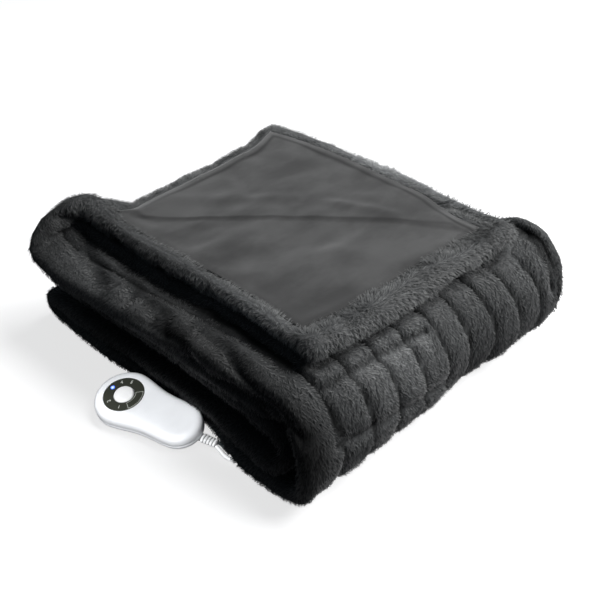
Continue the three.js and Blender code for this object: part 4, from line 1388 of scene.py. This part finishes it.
def build_blade(side):
    """A flat stamped contact blade with a rounded tip."""
    bm = bmesh.new()
    bmesh.ops.create_cube(bm, size=1)
    bmesh.ops.scale(bm, vec=Vector(BLADE_SIZE) * MM, verts=bm.verts[:])
    middle = (BLADE_MIDDLE, PLUG_Y + side * BLADE_HALF_GAP, PLUG_Z)
    bmesh.ops.translate(bm, vec=Vector(middle) * MM, verts=bm.verts[:])
    at_tip = [edge for edge in bm.edges if all(vert.co.x < BLADE_MIDDLE * MM for vert in edge.verts)]
    corners = [edge for edge in at_tip if abs(edge.verts[0].co.y - edge.verts[1].co.y) > MM]
    rounds = ((corners, BLADE_CORNER, 4), (bm.edges, BLADE_ROUND, 2))
    for edges, offset, segments in rounds:
        bmesh.ops.bevel(
            bm, geom=edges[:], offset=offset * MM, segments=segments, profile=0.5, affect="EDGES",
            material=-1,
        )
    return mesh_from(bm, "contact_blade", smooth=False)


# ---- what a user may change ----


class ThrowCloth(PropertyGroup):
    """The cloth, its pile and its lining"""

    pile_length: FloatProperty(
        name="Pile length", description="Length of the pile", default=0.006, min=0.002, unit="LENGTH"
    )
    hem_pile_length: FloatProperty(
        name="Hem pile length", description="Length of the pile on the hems", default=0.0078, min=0.002,
        unit="LENGTH",
    )
    strand_width: FloatProperty(
        name="Strand width", description="Width of one strand", default=0.00074, unit="LENGTH"
    )
    strand_count: IntProperty(
        name="Strands", description="Number of strands in the pile", default=250000, min=1000
    )
    root_colour: FloatVectorProperty(
        name="Root colour", description="Colour deep in the pile", default=(0.016, 0.0172, 0.019), size=3,
        subtype="COLOR",
    )
    tip_colour: FloatVectorProperty(
        name="Tip colour", description="Colour of the pile's tips", default=(0.15, 0.153, 0.151), size=3,
        subtype="COLOR",
    )
    lining_colour: FloatVectorProperty(
        name="Lining colour", description="Colour of the lining", default=(0.0372, 0.0372, 0.0372), size=3,
        subtype="COLOR",
    )


class HandControl(PropertyGroup):
    """The hand control"""

    moulding_colour: FloatVectorProperty(
        name="Moulding colour", description="Colour of the shells", default=(0.82, 0.835, 0.86), size=3,
        subtype="COLOR",
    )
    dial_colour: FloatVectorProperty(
        name="Dial colour", description="Colour of the printed dial", default=(0.027, 0.029, 0.021), size=3,
        subtype="COLOR",
    )
    lamp_colour: FloatVectorProperty(
        name="Lamp colour", description="Colour of the lit lens", default=(0.02, 0.13, 0.95), size=3,
        subtype="COLOR",
    )
    lamp_strength: FloatProperty(
        name="Lamp strength", description="How brightly the lens glows", default=1.6, min=0
    )


class Leads(PropertyGroup):
    """The leads and the plug"""

    diameter: FloatProperty(
        name="Lead diameter", description="Diameter of both leads", default=0.0048, unit="LENGTH"
    )
    colour: FloatVectorProperty(
        name="Lead colour", description="Colour of leads and plug", default=(0.8, 0.81, 0.82), size=3,
        subtype="COLOR",
    )


class Studio(PropertyGroup):
    """The studio's lights"""

    key_power: FloatProperty(
        name="Key light", description="Power of the key light", default=62, min=0, unit="POWER"
    )
    top_power: FloatProperty(
        name="Top light", description="Power of the overhead light", default=48, min=0, unit="POWER"
    )
    control_power: FloatProperty(
        name="Control light", description="Power of the light that only the control takes", default=17.5,
        min=0, unit="POWER",
    )
    fill: FloatProperty(
        name="Fill", description="Strength of the light from all round", default=0.07, min=0
    )


# ---- the studio ----

CAMERA_AT, CAMERA_TURN = (0.6390, -0.6163, 0.6823), (54, 0, 45)
LENS, SENSOR = 49.98, 36
SIDE_LIGHT_SHARE = 0.2
# Each light's name, place, aim and size in metres.
LIGHTS = (
    ("key_light", (1.45, 1.2, 1.8), (0, 0, 0.1), 1.3),
    ("top_light", (0.35, 1.05, 2.1), (0, 0, 0.1), 1.2),
    ("control_light", (0.25, -1.0, 1.1), (0.02, -0.25, 0), 0.5),
    ("control_side_light", (0.6, -0.95, 0.22), (0.05, -0.25, 0), 0.5),
)
FLOOR_COLOUR, FLOOR_DULL, FLOOR_GLOW = (0.42, 0.42, 0.425, 1), (0.16, 0.16, 0.165, 1), 0.74
AIR_COLOUR, PAPER_WHITE = (0.7, 0.85, 1, 1), (1, 1, 1, 1)


def area_light(name, place, aim, size, power):
    """A square soft light aimed at a point."""
    light = bpy.data.lights.new(name, "AREA")
    light.energy = power
    light.size = size
    obj = in_scene(name, light)
    obj.location = place
    obj.rotation_euler = (Vector(aim) - Vector(place)).to_track_quat("-Z", "Y").to_euler()
    return obj


def by_camera_ray(tree, others, camera, surface):
    """Feeds a surface with one shader for what the camera sees and another for all other rays."""
    choice = tree.nodes.new("ShaderNodeMixShader")
    rays = tree.nodes.new("ShaderNodeLightPath")
    tree.links.new(rays.outputs["Is Camera Ray"], choice.inputs["Fac"])
    tree.links.new(others, choice.inputs[1])
    tree.links.new(camera, choice.inputs[2])
    tree.links.new(choice.outputs["Shader"], surface)


def floor_finish():
    """A pale floor that reads as bright paper and gives little light back to what stands on it."""
    finish = Finish("pale_floor", roughness=0.9, specular_ior_level=0.1, base_color=FLOOR_COLOUR)
    bright = finish.add("Emission", {"Strength": FLOOR_GLOW}).outputs["Emission"]
    total = finish.add("AddShader", {0: finish.shader.outputs["BSDF"], 1: bright})
    dull = finish.add("BsdfDiffuse", {"Color": FLOOR_DULL})
    surface = finish.output.inputs["Surface"]
    by_camera_ray(finish.tree, dull.outputs["BSDF"], total.outputs["Shader"], surface)
    return finish.material


def studio_air(strength):
    """Faint cool light from all round, with white paper behind."""
    world = bpy.data.worlds.new("studio_air")
    world.use_nodes = True
    tree = world.node_tree
    air = tree.nodes["Background"]
    air.inputs["Color"].default_value = AIR_COLOUR
    air.inputs["Strength"].default_value = strength
    paper = tree.nodes.new("ShaderNodeBackground")
    paper.inputs["Color"].default_value = PAPER_WHITE
    surface = tree.nodes["World Output"].inputs["Surface"]
    by_camera_ray(tree, air.outputs["Background"], paper.outputs["Background"], surface)
    return world


# ---- operators ----


class THROW_OT_stage(Operator):
    """Sets up the camera, the pale floor and the soft studio light"""

    bl_idname = "throw.stage"
    bl_label = "Stage"

    def execute(self, context):
        settings = context.scene.throw_studio
        lens = bpy.data.cameras.new("camera")
        lens.lens = LENS
        lens.sensor_width = SENSOR
        camera = in_scene("camera", lens)
        camera.location = CAMERA_AT
        camera.rotation_euler = [math.radians(degrees) for degrees in CAMERA_TURN]
        context.scene.camera = camera
        bm = bmesh.new()
        bmesh.ops.create_grid(bm, x_segments=1, y_segments=1, size=8)
        floor = in_scene("floor", mesh_from(bm, "floor", smooth=False))
        floor.data.materials.append(floor_finish())
        side_power = SIDE_LIGHT_SHARE * settings.control_power
        powers = (settings.key_power, settings.top_power, settings.control_power, side_power)
        lights = [area_light(*light, power) for light, power in zip(LIGHTS, powers)]
        lit = bpy.data.collections.new(CONTROL_LIT)
        for light in lights[2:]:
            light.light_linking.receiver_collection = lit
        context.scene.world = studio_air(settings.fill)
        context.scene.view_settings.view_transform = "Standard"
        return {"FINISHED"}


class THROW_OT_leads(Operator):
    """Builds the mains lead with its plug, and the control lead that goes back into the hem"""

    bl_idname = "throw.leads"
    bl_label = "Leads and plug"

    def execute(self, context):
        settings = context.scene.throw_leads
        rubber = moulding_finish("white_lead_jacket", settings.colour, 0.42, grain=1800, bump=0.08)
        grip = new_object("plug_grip", build_plug(), rubber)
        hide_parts("plug_body")
        brass = brass_finish()
        blades = []
        for side, name in ((-1, "contact_blade_low"), (1, "contact_blade_high")):
            blade = new_object(name, build_blade(side), brass)
            blades.append(blade)
        nodes = sorted(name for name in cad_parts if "blade" in name)
        for blade, node in zip(blades, nodes):
            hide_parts(node)
        mains_points = [*MAINS_ROUTE, *mains_coil(), *PLUG_ROUTE]
        mains = lead_object("mains_lead_cord", mains_points, settings, rubber)
        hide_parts("mains_lead", "mains_coil", "plug_lead")
        control_points = [*CONTROL_ROUTE, *control_coil(), *HEM_ROUTE]
        control = lead_object("control_lead_cord", control_points, settings, rubber)
        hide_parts("control_lead", "control_coil", "hem_lead")
        return {"FINISHED"}


class THROW_OT_lining(Operator):
    """Builds the smooth lining with its wrinkles and its sewn edge"""

    bl_idname = "throw.lining"
    bl_label = "Lining"

    def execute(self, context):
        obj = new_object("lining_cloth", build_lining(), lining_finish(context.scene.throw_cloth))
        thickness = obj.modifiers.new("Thickness", "SOLIDIFY")
        thickness.thickness = LINING_THICK * MM
        thickness.offset = -1
        finished(obj).shade_smooth()
        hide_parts("lining")
        return {"FINISHED"}


class THROW_OT_cloth(Operator):
    """Builds the folded cloth and the faux-fur pile that grows from it"""

    bl_idname = "throw.cloth"
    bl_label = "Cloth and pile"

    def execute(self, context):
        settings = context.scene.throw_cloth
        obj = new_object("throw_cloth", weave_cloth("throw_cloth"), backing_finish(settings))
        smoothing = obj.modifiers.new("Subdivision", "SUBSURF")
        smoothing.levels = smoothing.render_levels = 1
        mesh = finished(obj)
        refine_creases(mesh)
        points, normals = coords_of(mesh)
        across, ribs = attribute_of(mesh, "across"), attribute_of(mesh, "ribs")
        pressed = press(points, normals, across, ribs)
        set_coords(mesh, pressed)
        # The ground's shade attribute: painted shade in channels and creases, with the pile's painted light
        # and shade.
        set_attribute(mesh, "shade", depth_shade(pressed, across, ribs) * painted_light_and_shade(pressed))
        mesh.shade_smooth()
        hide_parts("throw")
        pieces = grow_pile(mesh, bpy.data.objects["lining_cloth"].data, settings)
        return {"FINISHED"}


class THROW_OT_control(Operator):
    """Builds the hand control: two shells, the dial, its figures, the lit lens, the button and the boot"""

    bl_idname = "throw.control"
    bl_label = "Hand control"

    def execute(self, context):
        settings = context.scene.throw_control
        white = moulding_finish("white_moulding", settings.moulding_colour, 0.3, coat=0.25)
        shells = (
            (build_upper_shell(white), "control_upper_shell"),
            (build_lower_shell(white), "control_lower_shell"),
        )
        for obj, node in shells:
            obj.data.transform(control_place())
            for vert in obj.data.vertices:
                vert.co.z = max(vert.co.z, FLOOR_CLEAR * MM)
            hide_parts(node)
        dark = moulding_finish("dial_print", settings.dial_colour, 0.42, grain=3000, bump=0.06)
        obj = new_object("dial_ring_cover", build_dial(), dark)
        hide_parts("dial_ring")
        ink = moulding_finish("figure_print", (0.62, 0.64, 0.6), 0.5)
        obj = new_object("dial_figures", build_figures(), ink)
        obj = new_object("lamp_lens", build_lens(), lit_lens_finish(settings))
        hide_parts(next(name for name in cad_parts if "led" in name or "lens" in name))
        pale = moulding_finish("button_moulding", (0.86, 0.86, 0.86), 0.34, coat=0.2)
        obj = new_object("push_button_cap", build_button(), pale, "button")
        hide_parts("push_button")
        rubber = moulding_finish(
            "boot_rubber", (0.78, 0.79, 0.8), 0.45, grain=1800, bump=0.08, groove_shade="groove_shade"
        )
        boot = new_object("relief_boot", build_relief(), rubber)
        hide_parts("strain_relief")
        lit = bpy.data.collections.get(CONTROL_LIT)
        if lit:
            for name in CONTROL_PIECES:
                lit.objects.link(bpy.data.objects[name])
        return {"FINISHED"}


class THROW_PT_panel(Panel):
    """Lists what the throw is built from"""

    bl_label = "Electric throw"
    bl_idname = "THROW_PT_panel"
    bl_space_type = "VIEW_3D"
    bl_region_type = "UI"
    bl_category = "Throw"

    def draw(self, context):
        for key in GROUPS:
            group = getattr(context.scene, key)
            box = self.layout.box()
            for name in group.__annotations__:
                box.prop(group, name)
        for operator in OPERATORS:
            self.layout.operator(operator.bl_idname)


GROUPS = {
    "throw_studio": Studio, "throw_leads": Leads, "throw_cloth": ThrowCloth, "throw_control": HandControl,
}
OPERATORS = (THROW_OT_stage, THROW_OT_leads, THROW_OT_lining, THROW_OT_cloth, THROW_OT_control)


def register():
    for kind in (*GROUPS.values(), *OPERATORS, THROW_PT_panel):
        bpy.utils.register_class(kind)
    for name, group in GROUPS.items():
        setattr(bpy.types.Scene, name, PointerProperty(type=group))


def unregister():
    for name in GROUPS:
        delattr(bpy.types.Scene, name)
    for kind in (THROW_PT_panel, *reversed(OPERATORS), *GROUPS.values()):
        bpy.utils.unregister_class(kind)


def main():
    register()
    bpy.ops.throw.stage()
    bpy.ops.throw.leads()
    bpy.ops.throw.lining()
    bpy.ops.throw.cloth()
    bpy.ops.throw.control()


if __name__ == "__main__":
    main()
